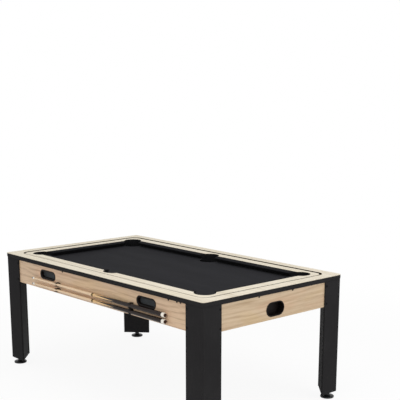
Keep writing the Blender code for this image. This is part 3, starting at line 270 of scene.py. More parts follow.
@dataclass(frozen=True)
class OakFoil:
    """Oak-printed foil on board: streaks along the grain, soft cathedral bands, a few knots and pores."""

    name: str
    pale: Colour
    deep: Colour
    grain: Grain
    roughness: float = 0.44
    streak_share: float = 0.75
    knot_share: float = 0.6
    line_share: float = 0.30
    tint_share: float = 0.55
    stretch: float = 24.0
    vein: Colour = (0.68, 0.62, 0.56)
    warm: Colour = (1.0, 0.97, 0.80)
    pink: Colour = (1.0, 0.89, 0.86)

    def growth_lines(self, graph: Graph) -> Socket:
        """Nested growth lines: the sine of the way across the board plus a slow noise along it, in turns.

        Args:
            graph: The material's graph.

        Returns:
            1 on a line and 0 between the lines.
        """
        x, y, z = graph.axes(graph.places())
        across = y + z if self.grain is Grain.ALONG_X else x + z
        wander = graph.noise(self.grain.stretched(3.4), 1.5, 2.0)
        ripple = graph.noise(self.grain.stretched(self.stretch), 1.9, 3.0, 0.6)
        turns = across * 31.0 + wander * 2.8 + ripple * 1.2
        return (turns * (2.0 * math.pi)).sum("SINE") * 0.5 + 0.5

    def material(self) -> bpy.types.Material:
        """The foil.

        Returns:
            The material.
        """
        graph = Graph(self.name)
        run = graph.places(self.grain.stretched(self.stretch))
        broad = graph.noise(run, 0.55, 3.0, 0.55, 0.5)
        fine = graph.noise(run, 3.4, 5.0, 0.62, 0.25)
        hair = graph.noise(run, 17.0, 2.0, 0.6)
        patch = graph.noise(EVEN, 2.1, 2.0)
        tint = graph.noise(self.grain.stretched(3.0), 3.1, 2.0)
        lines = self.growth_lines(graph)
        darker = tuple(part * share for part, share in zip(self.deep, self.vein))
        streaks = broad * 0.46 + fine * 0.42 + lines * 0.12
        colour = graph.mix(streaks.step(0.36, 0.66) * self.streak_share, self.pale, self.deep)
        colour = graph.mix(fine.step(0.57, 0.68) * patch.step(0.33, 0.60) * 0.45, colour, darker)
        colour = graph.mix(lines.step(0.60, 0.99) * fine.step(0.42, 0.58) * self.line_share, colour, darker)
        colour = graph.mix(tint.step(0.50, 0.70) * self.tint_share, colour, self.warm, "MULTIPLY")
        colour = graph.mix(tint.step(0.48, 0.30) * self.tint_share, colour, self.pink, "MULTIPLY")
        cells = {"Vector": graph.places(self.grain.stretched(3.2)), "Scale": 2.7}
        knot = graph.value("ShaderNodeTexVoronoi", "Distance", cells, feature="F1") + (fine - 0.5) * 0.10
        colour = graph.mix(knot.step(0.085, 0.02) * self.knot_share, colour, scaled(self.deep, 0.48))
        pores = hair.step(0.60, 0.72) * fine.step(0.38, 0.60)
        colour = graph.mix(hair.step(0.40, 0.64) * 0.12 + pores * 0.24, colour, darker)
        rough = self.roughness + pores * 0.10 + (broad - 0.5) * 0.06
        return graph.finish(Base_Color=colour, Roughness=rough, Normal=graph.bump(1.0 - pores, 0.00008),
                            Specular_IOR_Level=0.42)


@dataclass(frozen=True)
class BlackFoil:
    """Satin black foil on board: nearly even, with a faint grain in the gloss."""

    name: str
    colour: Colour
    worn: Colour
    roughness: float = 0.78

    def material(self) -> bpy.types.Material:
        """The foil.

        Returns:
            The material.
        """
        graph = Graph(self.name)
        grain = graph.noise((40.0, 40.0, 3.0), 3.0, 4.0, 0.6)
        skin = graph.noise(EVEN, 900.0, 2.0)
        cloud = graph.noise(EVEN, 3.0, 3.0, 0.6)
        worn = cloud.step(0.30, 0.75) * 0.6 + grain.step(0.45, 0.8) * 0.4
        rough = self.roughness + (cloud - 0.5) * 0.10 + (grain - 0.5) * 0.12
        return graph.finish(Base_Color=graph.mix(worn, self.colour, self.worn), Roughness=rough,
                            Normal=graph.bump(grain * 0.4 + skin * 0.6, 0.00005), Specular_IOR_Level=0.06)


@dataclass(frozen=True)
class MouldedPlastic:
    """Moulded plastic with a fine spark-etched skin."""

    name: str
    colour: Colour
    roughness: float = 0.5
    skin_depth: float = 0.00006
    gloss: float = 0.3

    def material(self) -> bpy.types.Material:
        """The plastic.

        Returns:
            The material.
        """
        graph = Graph(self.name)
        skin = graph.noise(EVEN, 1400.0, 2.0, 0.55)
        cloud = graph.noise(EVEN, 22.0, 3.0, 0.6)
        lighter = tuple(min(1.0, part * 1.5 + 0.002) for part in self.colour)
        colour = graph.mix(cloud.step(0.35, 0.75) * 0.5, self.colour, lighter)
        rough = self.roughness + (cloud - 0.5) * 0.14 + (skin - 0.5) * 0.08
        return graph.finish(Base_Color=colour, Roughness=rough,
                            Normal=graph.bump(skin, self.skin_depth), Specular_IOR_Level=self.gloss)


@dataclass(frozen=True)
class TableCloth:
    """Napped wool-blend cloth: a fine twill under short fibres, with soft lighter brush marks."""

    name: str
    colour: Colour
    nap: Colour
    thread: float = 0.0011
    sheen: float = 0.012

    def material(self) -> bpy.types.Material:
        """The cloth.

        Returns:
            The material.
        """
        graph = Graph(self.name)
        turns = 2.0 * math.pi / self.thread
        along, across, up = graph.axes(graph.places())
        twill = ((along + across + up) * turns).sum("SINE") * 0.5 + 0.5
        weft = ((along - across + up * 0.5) * (turns * 0.5)).sum("SINE") * 0.5 + 0.5
        fibre = graph.noise((1.0, 1.6, 1.3), 750.0, 3.0, 0.65)
        brush = graph.noise((0.35, 1.5, 1.0), 6.0, 4.0, 0.62, 0.4)
        cover = brush.step(0.25, 0.80) * 0.38 + fibre.step(0.35, 0.8) * 0.42 + twill * weft * 0.20
        height = fibre * 0.6 + twill * 0.25 + weft * 0.15
        return graph.finish(Base_Color=graph.mix(cover, self.colour, self.nap),
                            Roughness=0.92 + (fibre - 0.5) * 0.12,
                            Normal=graph.bump(height, 0.00018, 0.7), Specular_IOR_Level=0.03,
                            Sheen_Weight=self.sheen, Sheen_Roughness=0.5)


@dataclass(frozen=True)
class GlossBoard:
    """High-gloss black board with the faint ripple and hairlines of a played surface."""

    name: str
    colour: Colour
    hairline: Colour
    roughness: float = 0.07

    def material(self) -> bpy.types.Material:
        """The board.

        Returns:
            The material.
        """
        graph = Graph(self.name)
        ripple = graph.noise(EVEN, 14.0, 2.0)
        marks = graph.noise((2.0, 60.0, 10.0), 9.0, 4.0, 0.7, 1.2).step(0.66, 0.74)
        return graph.finish(Base_Color=graph.mix(marks * 0.3, self.colour, self.hairline),
                            Roughness=self.roughness + marks * 0.12 + ripple * 0.03,
                            Normal=graph.bump(ripple, 0.00006), Specular_IOR_Level=0.06)


@dataclass(frozen=True)
class PlatedSteel:
    """Zinc-plated steel: bright, with fine draw lines and cloudy plating."""

    name: str
    colour: Colour
    roughness: float = 0.30

    def material(self) -> bpy.types.Material:
        """The steel.

        Returns:
            The material.
        """
        graph = Graph(self.name)
        lines = graph.noise((8.0, 260.0, 260.0), 6.0, 3.0, 0.6)
        cloud = graph.noise(EVEN, 70.0, 3.0, 0.6)
        colour = graph.mix(cloud.step(0.35, 0.7), scaled(self.colour, 0.7), self.colour)
        rough = self.roughness + (lines - 0.5) * 0.18 + (cloud - 0.5) * 0.14
        return graph.finish(Base_Color=colour, Metallic=1.0, Roughness=rough,
                            Normal=graph.bump(lines, 0.00003))


@dataclass(frozen=True)
class CueWood:
    """Varnished cue wood; spear points of the darker wood run up from the butt along the piece's own map."""

    name: str
    light: Colour
    dark: Colour
    points: int = 0
    roughness: float = 0.26
    gloss: float = 0.5

    def material(self) -> bpy.types.Material:
        """The wood.

        Returns:
            The material.
        """
        graph = Graph(self.name)
        grain = graph.noise((5.0, 150.0, 150.0), 3.0, 4.0, 0.6)
        flame = graph.noise((30.0, 9.0, 9.0), 4.0, 2.0)
        deeper = grain.step(0.35, 0.75) * 0.5 + flame.step(0.4, 0.8) * 0.18
        colour = graph.mix(deeper, self.light, scaled(self.light, 0.62))
        if self.points:
            around, along, _ = graph.axes(graph.places(source="UV"))
            wave = (around * float(self.points)).sum("FRACT") - 0.5
            spear = 1.0 - wave.sum("ABSOLUTE") * 2.0
            inside = (along + spear * 0.9 - 0.95).step(-0.012, 0.012)
            colour = graph.mix(inside, colour, graph.mix(grain, self.dark, scaled(self.dark, 1.5)))
        return graph.finish(Base_Color=colour, Roughness=self.roughness + (grain - 0.5) * 0.06,
                            Normal=graph.bump(grain, 0.00003), Specular_IOR_Level=self.gloss,
                            Coat_Weight=self.gloss, Coat_Roughness=0.12)


@dataclass(frozen=True)
class PlainWood:
    """Bare softwood with growth lines along the piece."""

    name: str
    light: Colour
    dark: Colour

    def material(self) -> bpy.types.Material:
        """The wood.

        Returns:
            The material.
        """
        graph = Graph(self.name)
        rings = graph.noise((14.0, 1.2, 22.0), 2.2, 4.0, 0.6, 0.6)
        pores = graph.noise((90.0, 9.0, 90.0), 9.0, 2.0)
        return graph.finish(Base_Color=graph.mix(rings.step(0.34, 0.68), self.light, self.dark),
                            Roughness=0.68 + (pores - 0.5) * 0.1, Normal=graph.bump(pores, 0.0001))


class Palette:
    """Every finish, made once and handed out by its name."""

    def __init__(self) -> None:
        """Make the finishes."""
        along, across = Grain.ALONG_X, Grain.ALONG_Y
        finishes = (
            OakFoil("oak_top", (0.715, 0.655, 0.53), (0.57, 0.495, 0.37), along, 0.50, 0.60, 0.25, 0.2, 0.2),
            OakFoil("oak_rink", (0.62, 0.485, 0.33), (0.50, 0.37, 0.24), along, 0.50, 0.60, 0.25, 0.25, 0.3),
            OakFoil("oak_front", (0.68, 0.49, 0.325), (0.50, 0.34, 0.22), along),
            OakFoil("oak_end", (0.615, 0.47, 0.315), (0.465, 0.33, 0.205), across, line_share=0.2),
            OakFoil("oak_cabinet", (0.68, 0.50, 0.33), (0.54, 0.375, 0.24), along),
            BlackFoil("black_foil", (0.0165, 0.0158, 0.0166), (0.0265, 0.0255, 0.0262)),
            BlackFoil("black_edging", (0.016, 0.013, 0.011), (0.024, 0.019, 0.015), 0.6),
            # Brown of the real seam; the band that takes it is widened at the back and ends as painted shade
            # for the shadowed gap.
            MouldedPlastic("seam_and_painted_shade", (0.016, 0.011, 0.006), 0.85, gloss=0.0),
            MouldedPlastic("black_plastic", (0.009, 0.0085, 0.0085), 0.46, gloss=0.2),
            MouldedPlastic("tray_wall", (0.006, 0.0035, 0.003), 0.5, gloss=0.15),
            # The trays' back panels: a lighter grey-blue copy of the tray plastic, painted reflection.
            MouldedPlastic("tray_back_painted_reflection", (0.034, 0.037, 0.040), 0.6, gloss=0.2),
            MouldedPlastic("pocket_plastic", (0.0045, 0.0045, 0.005), 0.6, gloss=0.06),
            MouldedPlastic("foot_plastic", (0.007, 0.007, 0.0075), 0.40),
            MouldedPlastic("cue_ferrule", (0.84, 0.79, 0.70), 0.30, 0.00001),
            MouldedPlastic("cue_tip_leather", (0.05, 0.11, 0.17), 0.85, 0.0002),
            MouldedPlastic("cue_rubber", (0.045, 0.019, 0.011), 0.62, gloss=0.2),
            TableCloth("bed_cloth", (0.0130, 0.0130, 0.0150), (0.0230, 0.0230, 0.0265)),
            # The cushions' cloth is a darker copy of the bed cloth: painted shade for the shaded faces under
            # the noses.
            TableCloth("cushion_cloth_painted_shade", (0.0075, 0.0075, 0.0085), (0.014, 0.014, 0.016)),
            GlossBoard("field_gloss", (0.0035, 0.0035, 0.004), (0.03, 0.03, 0.032)),
            MouldedPlastic("field_paint", (0.74, 0.74, 0.73), 0.24, 0.00001),
            PlatedSteel("plated_steel", (0.62, 0.62, 0.63)),
            PlatedSteel("cue_collar", (0.55, 0.37, 0.14), 0.22),
            CueWood("cue_shaft", (0.79, 0.56, 0.34), (0.02, 0.01, 0.008)),
            CueWood("cue_forearm", (0.80, 0.52, 0.25), (0.010, 0.006, 0.005), 4, gloss=0.2),
            CueWood("cue_butt", (0.013, 0.006, 0.0045), (0.02, 0.01, 0.008), 0, 0.20, 0.13),
            PlainWood("pine_beam", (0.62, 0.46, 0.29), (0.46, 0.31, 0.17)),
            PlainWood("bare_board", (0.42, 0.33, 0.23), (0.34, 0.26, 0.17)),
        )
        self.made = {finish.name: finish.material() for finish in finishes}

    def dress(self, piece: Piece, name: str) -> None:
        """Give a piece one finish all over."""
        piece.data.materials.clear()
        piece.data.materials.append(self.made[name])


# Shapes


class Axis(Enum):
    """The axis that a shape's third direction runs along, as the order of its directions in the model."""

    X = (2, 0, 1)
    Y = (0, 2, 1)
    Z = (0, 1, 2)

    def placed(self, points: np.ndarray) -> np.ndarray:
        """Points of a shape drawn along Z, turned to this axis."""
        return points[..., list(self.value)]


def finished(name: str, mesh: bpy.types.Mesh, work: bmesh.types.BMesh, angle: float) -> Piece:
    """A worked mesh as a piece of the scene, smooth below an angle.

    Args:
        name: The object's name.
        mesh: The mesh that takes the work.
        work: The worked corners and faces, which are used up.
        angle: Edges sharper than this stay sharp.

    Returns:
        The object.
    """
    work.to_mesh(mesh)
    work.free()
    mesh.polygons.foreach_set("use_smooth", np.ones(len(mesh.polygons), bool))
    mesh.set_sharp_from_angle(angle=angle)
    piece = bpy.data.objects.new(name, mesh)
    bpy.context.scene.collection.objects.link(piece)
    return piece


def mesh_object(name: str, points: np.ndarray, faces: Sequence[Sequence[int]],
                angle: float = SMOOTH_ANGLE, wrap: np.ndarray | None = None) -> Piece:
    """An object from points and faces, welded, facing out and smooth below an angle.

    Args:
        name: The object's name.
        points: The corners, one row each.
        faces: Lists of corner numbers.
        angle: Edges sharper than this stay sharp.
        wrap: Each corner's place on the piece's own map, if it has one.

    Returns:
        The object.
    """
    mesh = bpy.data.meshes.new(name)
    mesh.from_pydata(points.reshape(-1, 3).tolist(), [], [list(map(int, face)) for face in faces])
    if wrap is not None:
        corners = np.empty(len(mesh.loops), np.int32)
        mesh.loops.foreach_get("vertex_index", corners)
        layer = mesh.uv_layers.new(name="wrap")
        layer.data.foreach_set("uv", wrap.reshape(-1, 2)[corners].astype(np.float32).ravel())
    work = bmesh.new()
    work.from_mesh(mesh)
    bmesh.ops.remove_doubles(work, verts=work.verts, dist=WELD)
    bmesh.ops.recalc_face_normals(work, faces=work.faces)
    return finished(name, mesh, work, angle)


def grid_faces(rows: int, columns: int, close_rows: bool, close_columns: bool) -> np.ndarray:
    """The faces of a grid: each cell joins a corner to the next in both directions.

    Args:
        rows: Points in the first direction.
        columns: Points in the second direction.
        close_rows: Whether the last row joins the first.
        close_columns: Whether the last column joins the first.

    Returns:
        Four corner numbers for each cell.
    """
    row = np.arange(rows if close_rows else rows - 1)
    column = np.arange(columns if close_columns else columns - 1)
    first, second = np.meshgrid(row, column, indexing="ij")
    next_row = (first + 1) % rows
    next_column = (second + 1) % columns
    cells = (first * columns + second, next_row * columns + second,
             next_row * columns + next_column, first * columns + next_column)
    return np.stack(cells, axis=-1).reshape(-1, 4)


def tube(name: str, rings: np.ndarray, angle: float = SMOOTH_ANGLE) -> Piece:
    """A closed column: faces between its rings, and one face over the first and the last.

    Args:
        name: The object's name.
        rings: Points by ring and by place in the ring.
        angle: Edges sharper than this stay sharp.

    Returns:
        The object.
    """
    count, around = rings.shape[:2]
    ends = np.arange(count * around).reshape(count, around)[[0, -1]]
    return mesh_object(name, rings, [*grid_faces(count, around, False, True), *ends], angle)


def arc(centre: tuple[float, float], radius: float, start: float, stop: float, steps: int) -> np.ndarray:
    """Points on an arc: the centre plus the radius times the cosine and sine of the turn.

    Args:
        centre: The arc's centre.
        radius: Its radius.
        start: The first turn, in radians.
        stop: The last turn.
        steps: Gaps between points.

    Returns:
        The points.
    """
    turn = np.linspace(start, stop, steps + 1)
    return np.stack([centre[0] + radius * np.cos(turn), centre[1] + radius * np.sin(turn)], axis=1)


def rounded_box(half_x: float, half_y: float, radius: float, steps: int = 16) -> np.ndarray:
    """A rectangle with round corners, counter-clockwise: four quarter arcs about its inner corners.

    Args:
        half_x: Half the length.
        half_y: Half the width.
        radius: The corners' radius.
        steps: Gaps in each corner.

    Returns:
        The outline.
    """
    return np.concatenate([
        arc((sx * (half_x - radius), sy * (half_y - radius)), radius, turn * QUARTER,
            (turn + 1) * QUARTER, steps)
        for turn, (sx, sy) in enumerate(((1, 1), (-1, 1), (-1, -1), (1, -1)))
    ])


def stadium(half_length: float, half_height: float) -> np.ndarray:
    """An oblong with half-round ends: a rounded box whose corners are half its height."""
    return rounded_box(half_length, half_height, half_height - WELD)


def circle(centre: tuple[float, float], radius: float, steps: int) -> np.ndarray:
    """A full circle, counter-clockwise, without its last point."""
    return arc(centre, radius, 0.0, 2 * math.pi, steps)[:-1]


def reach(radius: float, centre: float, edge: float) -> float:
    """Half the chord that an edge cuts from a circle: the root of the radius squared less the gap squared."""
    return math.sqrt(radius ** 2 - (edge - centre) ** 2)


def inset(outline: np.ndarray, distance: float, sharpest: float = 0.35) -> np.ndarray:
    """An outline moved to its left by a distance.

    Each point moves along the mean of the normals beside it, lengthened by the cosine of half the turn.

    Args:
        outline: Points in order; the material lies on their left.
        distance: How far to move.
        sharpest: The least cosine that the move is divided by.

    Returns:
        The moved outline.
    """
    forward = np.roll(outline, -1, axis=0) - outline
    forward = forward / np.maximum(np.linalg.norm(forward, axis=1, keepdims=True), TINY)
    after = np.stack([-forward[:, 1], forward[:, 0]], axis=1)
    mean = after + np.roll(after, 1, axis=0)
    mean = mean / np.maximum(np.linalg.norm(mean, axis=1, keepdims=True), TINY)
    return outline + mean * distance / np.maximum((mean * after).sum(axis=1, keepdims=True), sharpest)


def slab(name: str, outer: np.ndarray, holes: Sequence[np.ndarray], low: float, high: float,
         bevel: float, axis: Axis = Axis.Z) -> Piece:
    """A board with rounded edges: a rounded section goes round each outline, and two flat faces close it.

    Args:
        name: The object's name.
        outer: The outer outline, counter-clockwise.
        holes: The holes' outlines, counter-clockwise.
        low: Where the board's lower face lies on its axis.
        high: Where its upper face lies.
        bevel: The edge's radius.
        axis: The axis that the board's thickness runs along.

    Returns:
        The board.
    """
    turn = np.linspace(0.0, QUARTER, 4)
    inward = bevel * (1 - np.cos(turn))
    rise = bevel * (1 - np.sin(turn))
    section = np.concatenate([
        np.stack([inward[::-1], low + rise[::-1]], axis=1),
        np.stack([inward, high - rise], axis=1),
    ])
    points, faces, lower, upper = [], [], [], []
    start = 0
    for outline in [outer, *[hole[::-1] for hole in holes]]:
        gap = np.linalg.norm(outline - np.roll(outline, 1, axis=0), axis=1)
        path = outline[gap > REPEAT]
        rings = np.stack([np.column_stack([inset(path, move), np.full(len(path), level)])
                          for move, level in section])
        count = len(path)
        faces.extend(grid_faces(len(section), count, False, True) + start)
        lower.append((rings[0], start))
        upper.append((rings[-1], start + (len(section) - 1) * count))
        points.append(rings.reshape(-1, 3))
        start += len(section) * count
    for caps in (lower, upper):
        loops = [[Vector(point) for point in ring] for ring, _ in caps]
        number = np.concatenate([np.arange(len(ring)) + first for ring, first in caps])
        faces.extend(number[list(face)] for face in tessellate_polygon(loops))
    piece = mesh_object(name, axis.placed(np.concatenate(points)), faces)
    piece.modifiers.new("even_faces", "WEIGHTED_NORMAL").keep_sharp = True
    return piece


def lathe(name: str, profile: np.ndarray, place: Sequence[float], axis: Axis = Axis.Z,
          steps: int = 64) -> Piece:
    """A turned piece: each profile point goes round the axis at its radius and keeps its height.

    Its map runs once round the piece in the first direction and along the profile in the second.

    Args:
        name: The object's name.
        profile: Radius and height of each point, from one end of the axis to the other.
        place: Where height 0 lies on the axis.
        axis: The axis that the heights run along.
        steps: Gaps round the piece.

    Returns:
        The piece.
    """
    turn = np.linspace(0, 2 * math.pi, steps + 1)
    radius, height = profile.T
    up = np.broadcast_to(height, (len(turn), len(profile)))
    spun = np.stack([np.outer(np.cos(turn), radius), np.outer(np.sin(turn), radius), up], axis=-1)
    length = np.concatenate([[0], np.cumsum(np.linalg.norm(np.diff(profile, axis=0), axis=1))])
    wrap = np.stack(np.meshgrid(np.linspace(0, 1, len(turn)), length / length[-1], indexing="ij"), axis=-1)
    faces = grid_faces(len(turn), len(profile), False, False)
    return mesh_object(name, axis.placed(spun) + np.array(place, float), faces, wrap=wrap)


def vectors(items: bpy.types.bpy_prop_collection, name: str) -> np.ndarray:
    """One vector of each corner or face of a mesh.

    Args:
        items: The mesh's corners or faces.
        name: The vector's name.

    Returns:
        One row each.
    """
    found = np.empty(len(items) * 3, np.float32)
    items.foreach_get(name, found)
    return found.reshape(-1, 3)


def joined(name: str, pieces: Sequence[Piece]) -> Piece:
    """Several pieces of one finish as one mesh.

    Args:
        name: The new object's name.
        pieces: The pieces, which are used up.

    Returns:
        The object.
    """
    points, faces, start = [], [], 0
    for piece in pieces:
        mesh = piece.data
        points.append(vectors(mesh.vertices, "co"))
        faces.extend([[corner + start for corner in face.vertices] for face in mesh.polygons])
        start += len(mesh.vertices)
        bpy.data.objects.remove(piece)
    return mesh_object(name, np.concatenate(points).astype(float), faces)


class Assembly:
    """Makes pieces of the table and dresses the nodes that it is built on."""

    def __init__(self, frame: dict[str, object], palette: Palette) -> None:
        self.nodes = frame["nodes"]
        self.palette = palette

    def add(self, piece: Piece, body: str, slot: str, finish: str, *replaced: str) -> None:
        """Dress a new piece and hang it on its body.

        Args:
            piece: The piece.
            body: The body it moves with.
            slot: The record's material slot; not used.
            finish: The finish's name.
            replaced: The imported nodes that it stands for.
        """
        self.palette.dress(piece, finish)
        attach(piece, body)
        if replaced:
            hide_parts(*replaced)
        LOG.info("%s on %s: %d faces", piece.name, body, len(piece.data.polygons))

    def part_finish(self, piece: Piece, finish: str, chosen: np.ndarray) -> None:
        """Give the chosen faces of a dressed piece a second finish."""
        piece.data.materials.append(self.palette.made[finish])
        piece.data.polygons.foreach_set("material_index", chosen.astype(np.int32))

    def soften(self, finish: str, width: float, *names: str) -> None:
        """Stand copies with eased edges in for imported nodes, and dress them.

        A copy's seams are welded and its flat triangles merged into whole faces.

        Args:
            finish: The copies' finish.
            width: How far each edge is eased.
            names: The nodes, which aren't changed.
        """
        for name in names:
            node = self.nodes[name]
            work = bmesh.new()
            work.from_mesh(node.data)
            bmesh.ops.remove_doubles(work, verts=work.verts, dist=WELD)
            bmesh.ops.dissolve_limit(work, angle_limit=FLAT_ANGLE, verts=work.verts, edges=work.edges)
            piece = finished(f"{name}_eased", bpy.data.meshes.new(f"{name}_eased"), work, SMOOTH_ANGLE)
            ease = piece.modifiers.new("eased_edges", "BEVEL")
            ease.width = width
            ease.segments = 2
            ease.limit_method = "ANGLE"
            ease.angle_limit = SMOOTH_ANGLE
            ease.harden_normals = True
            self.add(piece, node["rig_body"], node.data.materials[0].name, finish, name)


# The table's parts


@dataclass(frozen=True)
class Playfield:
    """The turning cabinet's shared sizes, which the pool and hockey faces both use."""

    axis_height: float = 0.732
    half_length: float = 0.9775
    half_width: float = 0.515
    half_thickness: float = 0.094
    corner_radius: float = 0.055
    rim_width: float = 0.070
    rim_thickness: float = 0.018
    edging: float = 0.0015
    gap: float = 0.0003
    cloth_depth: float = 0.038
    bed_thickness: float = 0.012
    wall: float = 0.015
    corner_pocket: float = 0.066
    middle_pocket: float = 0.070
    corner_inset: float = 0.104
    middle_inset: float = 0.095
    pool_drop: float = 0.0020

    @property
    def opening(self) -> tuple[float, float]:
        """Half the length and half the width of the rim's opening."""
        return (self.half_length - self.rim_width, self.half_width - self.rim_width)

    @property
    def corner_centre(self) -> tuple[float, float]:
        """A corner pocket's centre, in the first quarter."""
        return (self.half_length - self.corner_inset, self.half_width - self.corner_inset)

    @property
    def middle_centre(self) -> float:
        """How far a middle pocket's centre lies across the table."""
        return self.half_width - self.middle_inset

    @property
    def face(self) -> float:
        """The height of the upper face above the floor, before the pool rim's drop."""
        return self.axis_height + self.half_thickness

    @property
    def cloth_height(self) -> float:
        """The cloth's height above the floor."""
        return self.face - self.cloth_depth

    @property
    def top(self) -> float:
        """The pool rim's height above the floor; it sits a little under the rails, as in the photograph."""
        return self.face - self.pool_drop

    def outline(self, side: float, steps: int = 16) -> np.ndarray:
        """The playfield's outline, moved in by a distance, with so many steps in each corner."""
        return rounded_box(self.half_length - side, self.half_width - side, self.corner_radius - side, steps)

    def pockets(self) -> dict[str, Triple]:
        """Each pocket's place and radius.

        Returns:
            Centre along, centre across and radius by the pocket's name.
        """
        x, y = self.corner_centre
        found = {name: (sx * x, sy * y, self.corner_pocket) for name, (sx, sy) in CORNERS.items()}
        found.update({f"{side}_middle": (0.0, sy * self.middle_centre, self.middle_pocket)
                      for side, sy in SIDES.items()})
        return found

    def pool_opening(self) -> np.ndarray:
        """The pool rim's opening with its six pocket bites, counter-clockwise.

        A bite is the arc of the pocket's circle outside the straight edge, from where the circle meets
        one edge to where it meets the next; a quarter is worked out and mirrored.

        Returns:
            The outline.
        """
        x, y = self.corner_centre
        low = math.asin(-reach(self.corner_pocket, x, self.opening[0]) / self.corner_pocket)
        corner = arc((x, y), self.corner_pocket, low, QUARTER - low, 40)
        start = math.asin((self.opening[1] - self.middle_centre) / self.middle_pocket)
        middle = arc((0.0, self.middle_centre), self.middle_pocket, start, QUARTER, 16)
        quarter = np.concatenate([corner, middle])
        half = np.concatenate([quarter, (quarter * (-1, 1))[::-1]])
        return np.concatenate([half, half * (-1, -1)])


@dataclass
class Part:
    """One part of the table, with the assembly that takes its pieces."""

    base: Assembly


@dataclass
class TopFrame(Part):
    """The rails round the playfield: a black ring with an oak panel on it."""

    corner_radius: float = 0.024
    opening_x: float = 0.9825
    opening_y: float = 0.523
    opening_radius: float = 0.063
    # The band is wider at the back and the ends than at the front: painted shade for the gap beside the rim.
    band_end: float = 0.0085
    band_front: float = 0.0010
    band_back: float = 0.0070
    bevel: float = 0.0006
    ease: float = 0.0008

    def build(self) -> None:
        """Lay the oak panel and the dark band along its opening, and dress the ring. The band is the real
        brown seam, widened as painted shade at the back and the ends.
        """
        self.base.soften("black_foil", self.ease, "top_frame")
        low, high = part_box("top_frame_oak_panel")
        outer = rounded_box(high.x, high.y, self.corner_radius, 14)
        opening = rounded_box(self.opening_x, self.opening_y, self.opening_radius)
        middle, shift = (self.band_back + self.band_front) / 2, (self.band_back - self.band_front) / 2
        banded = rounded_box(self.opening_x + self.band_end, self.opening_y + middle,
                             self.opening_radius + middle) + (0.0, shift)
        panel = slab("rail_panel", outer, [banded], low.z, high.z, self.bevel)
        self.base.add(panel, "frame", "oak_top", "oak_top", "top_frame_oak_panel")
        # The dark band: the real seam, widened at the back and the ends as painted shade.
        band = slab("rail_panel_band", banded, [opening], low.z, high.z, self.bevel / 2)
        self.base.add(band, "frame", "black_laminate", "seam_and_painted_shade")


@dataclass
class Legs(Part):
    """The legs with eased edges, their bolts and their feet."""

    ease: float = 0.0008
    foot_x: float = 1.015
    foot_y: float = 0.548
    disc_radius: float = 0.045
    disc_height: float = 0.013
    disc_round: float = 0.003
    rim_round: float = 0.004
    dish_radius: float = 0.033
    waist_radius: float = 0.016
    waist_round: float = 0.0115
    waist_gap: float = 0.001
    hub_top: float = 0.0417
    hub_radius: float = 0.0222
    collar_round: float = 0.0022
    collar_drop: float = 0.0065
    stem_radius: float = 0.006
    stem_rise: float = 0.028
    stem_edge: float = 0.001
    bolt_radius: float = 0.0065
    bolt_height: float = 0.0026
    bolt_inset: float = 0.011
    bolt_round: float = 0.0007
    bolt_recess: float = 0.0011
    bolt_standoff: float = 0.00015
    bolt_levels: tuple[float, ...] = (0.765, 0.652)

    def foot_profile(self) -> np.ndarray:
        """A foot's section, up its outside: rounded disc, dished top, waist, collar and stem.

        Returns:
            Radius and height of each point.
        """
        disc, top, hub = self.disc_radius, self.disc_height, self.hub_top
        collar, middle = hub - self.collar_drop, self.hub_radius - self.collar_round
        return np.concatenate([
            [(0.0, 0.0), (disc - self.disc_round, 0.0)],
            arc((disc - self.disc_round, self.disc_round), self.disc_round, -QUARTER, 0.0, 5),
            arc((disc - self.rim_round, top - self.rim_round - 0.001), self.rim_round, 0.0, QUARTER, 8),
            [(disc - 2 * self.rim_round, top - 0.0012), (self.dish_radius, top + 0.0005)],
            arc((self.waist_radius + self.waist_round, top + self.waist_round + self.waist_gap),
                self.waist_round, -QUARTER + 0.15, -math.pi, 12),
            [(self.waist_radius, collar - 0.002)],
            arc((middle - 0.0005, collar), self.collar_round, -math.pi * 0.9, -QUARTER, 4),
            arc((middle, collar), self.collar_round, -QUARTER, 0.0, 5),
            [(self.hub_radius, hub - 0.0015), (self.hub_radius - 0.0008, hub), (self.stem_radius, hub),
             (self.stem_radius, hub + self.stem_rise - self.stem_edge),
             (self.stem_radius - self.stem_edge, hub + self.stem_rise), (0.0, hub + self.stem_rise)],
        ])

    def bolt(self, place: Sequence[float], axis: Axis, outward: float) -> Piece:
        """A socket cap: a low dome with a round recess, turned about its axis.

        Args:
            place: The middle of its foot on the leg's face.
            axis: The axis it points along.
            outward: Which way along that axis.

        Returns:
            The bolt.
        """
        radius, height, edge = self.bolt_radius, self.bolt_height, self.bolt_round
        profile = np.concatenate([
            [(0.0, self.bolt_standoff), (radius, self.bolt_standoff), (radius, height * 0.55)],
            arc((radius - edge, height - edge), edge, 0.0, QUARTER, 4),
            [(radius * 0.45, height), (radius * 0.42, height - 0.0003),
             (radius * 0.40, height - self.bolt_recess), (0.0, height - self.bolt_recess)],
        ]) * (1.0, outward)
        return lathe("bolt", profile, place, axis, 24)

    def build(self) -> None:
        """Dress the legs and add feet and bolts."""
        for corner, (sx, sy) in CORNERS.items():
            self.base.soften("black_foil", self.ease, f"leg_{corner}")
            node = f"levelling_foot_{corner}"
            foot = lathe(f"foot_{corner}", self.foot_profile(), (sx * self.foot_x, sy * self.foot_y, 0.0))
            self.base.add(foot, node, "black_plastic", "foot_plastic", node)
            self.add_bolts(corner, sx, sy)

    def add_bolts(self, corner: str, sx: float, sy: float) -> None:
        """The two bolts on each of a leg's outer faces, close beside the apron.

        Args:
            corner: The leg's corner of the table.
            sx: The sign of its end.
            sy: The sign of its side.
        """
        low, high = (np.abs(point)[:2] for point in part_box(f"leg_{corner}"))
        face = np.maximum(low, high) * (sx, sy)
        edge = (np.minimum(low, high) + self.bolt_inset) * (sx, sy)
        bolts = []
        for level in self.bolt_levels:
            bolts.append(self.bolt((edge[0], face[1], level), Axis.Y, sy))
            bolts.append(self.bolt((face[0], edge[1], level), Axis.X, sx))
        self.base.add(joined(f"leg_bolts_{corner}", bolts), "frame", "steel", "pocket_plastic")


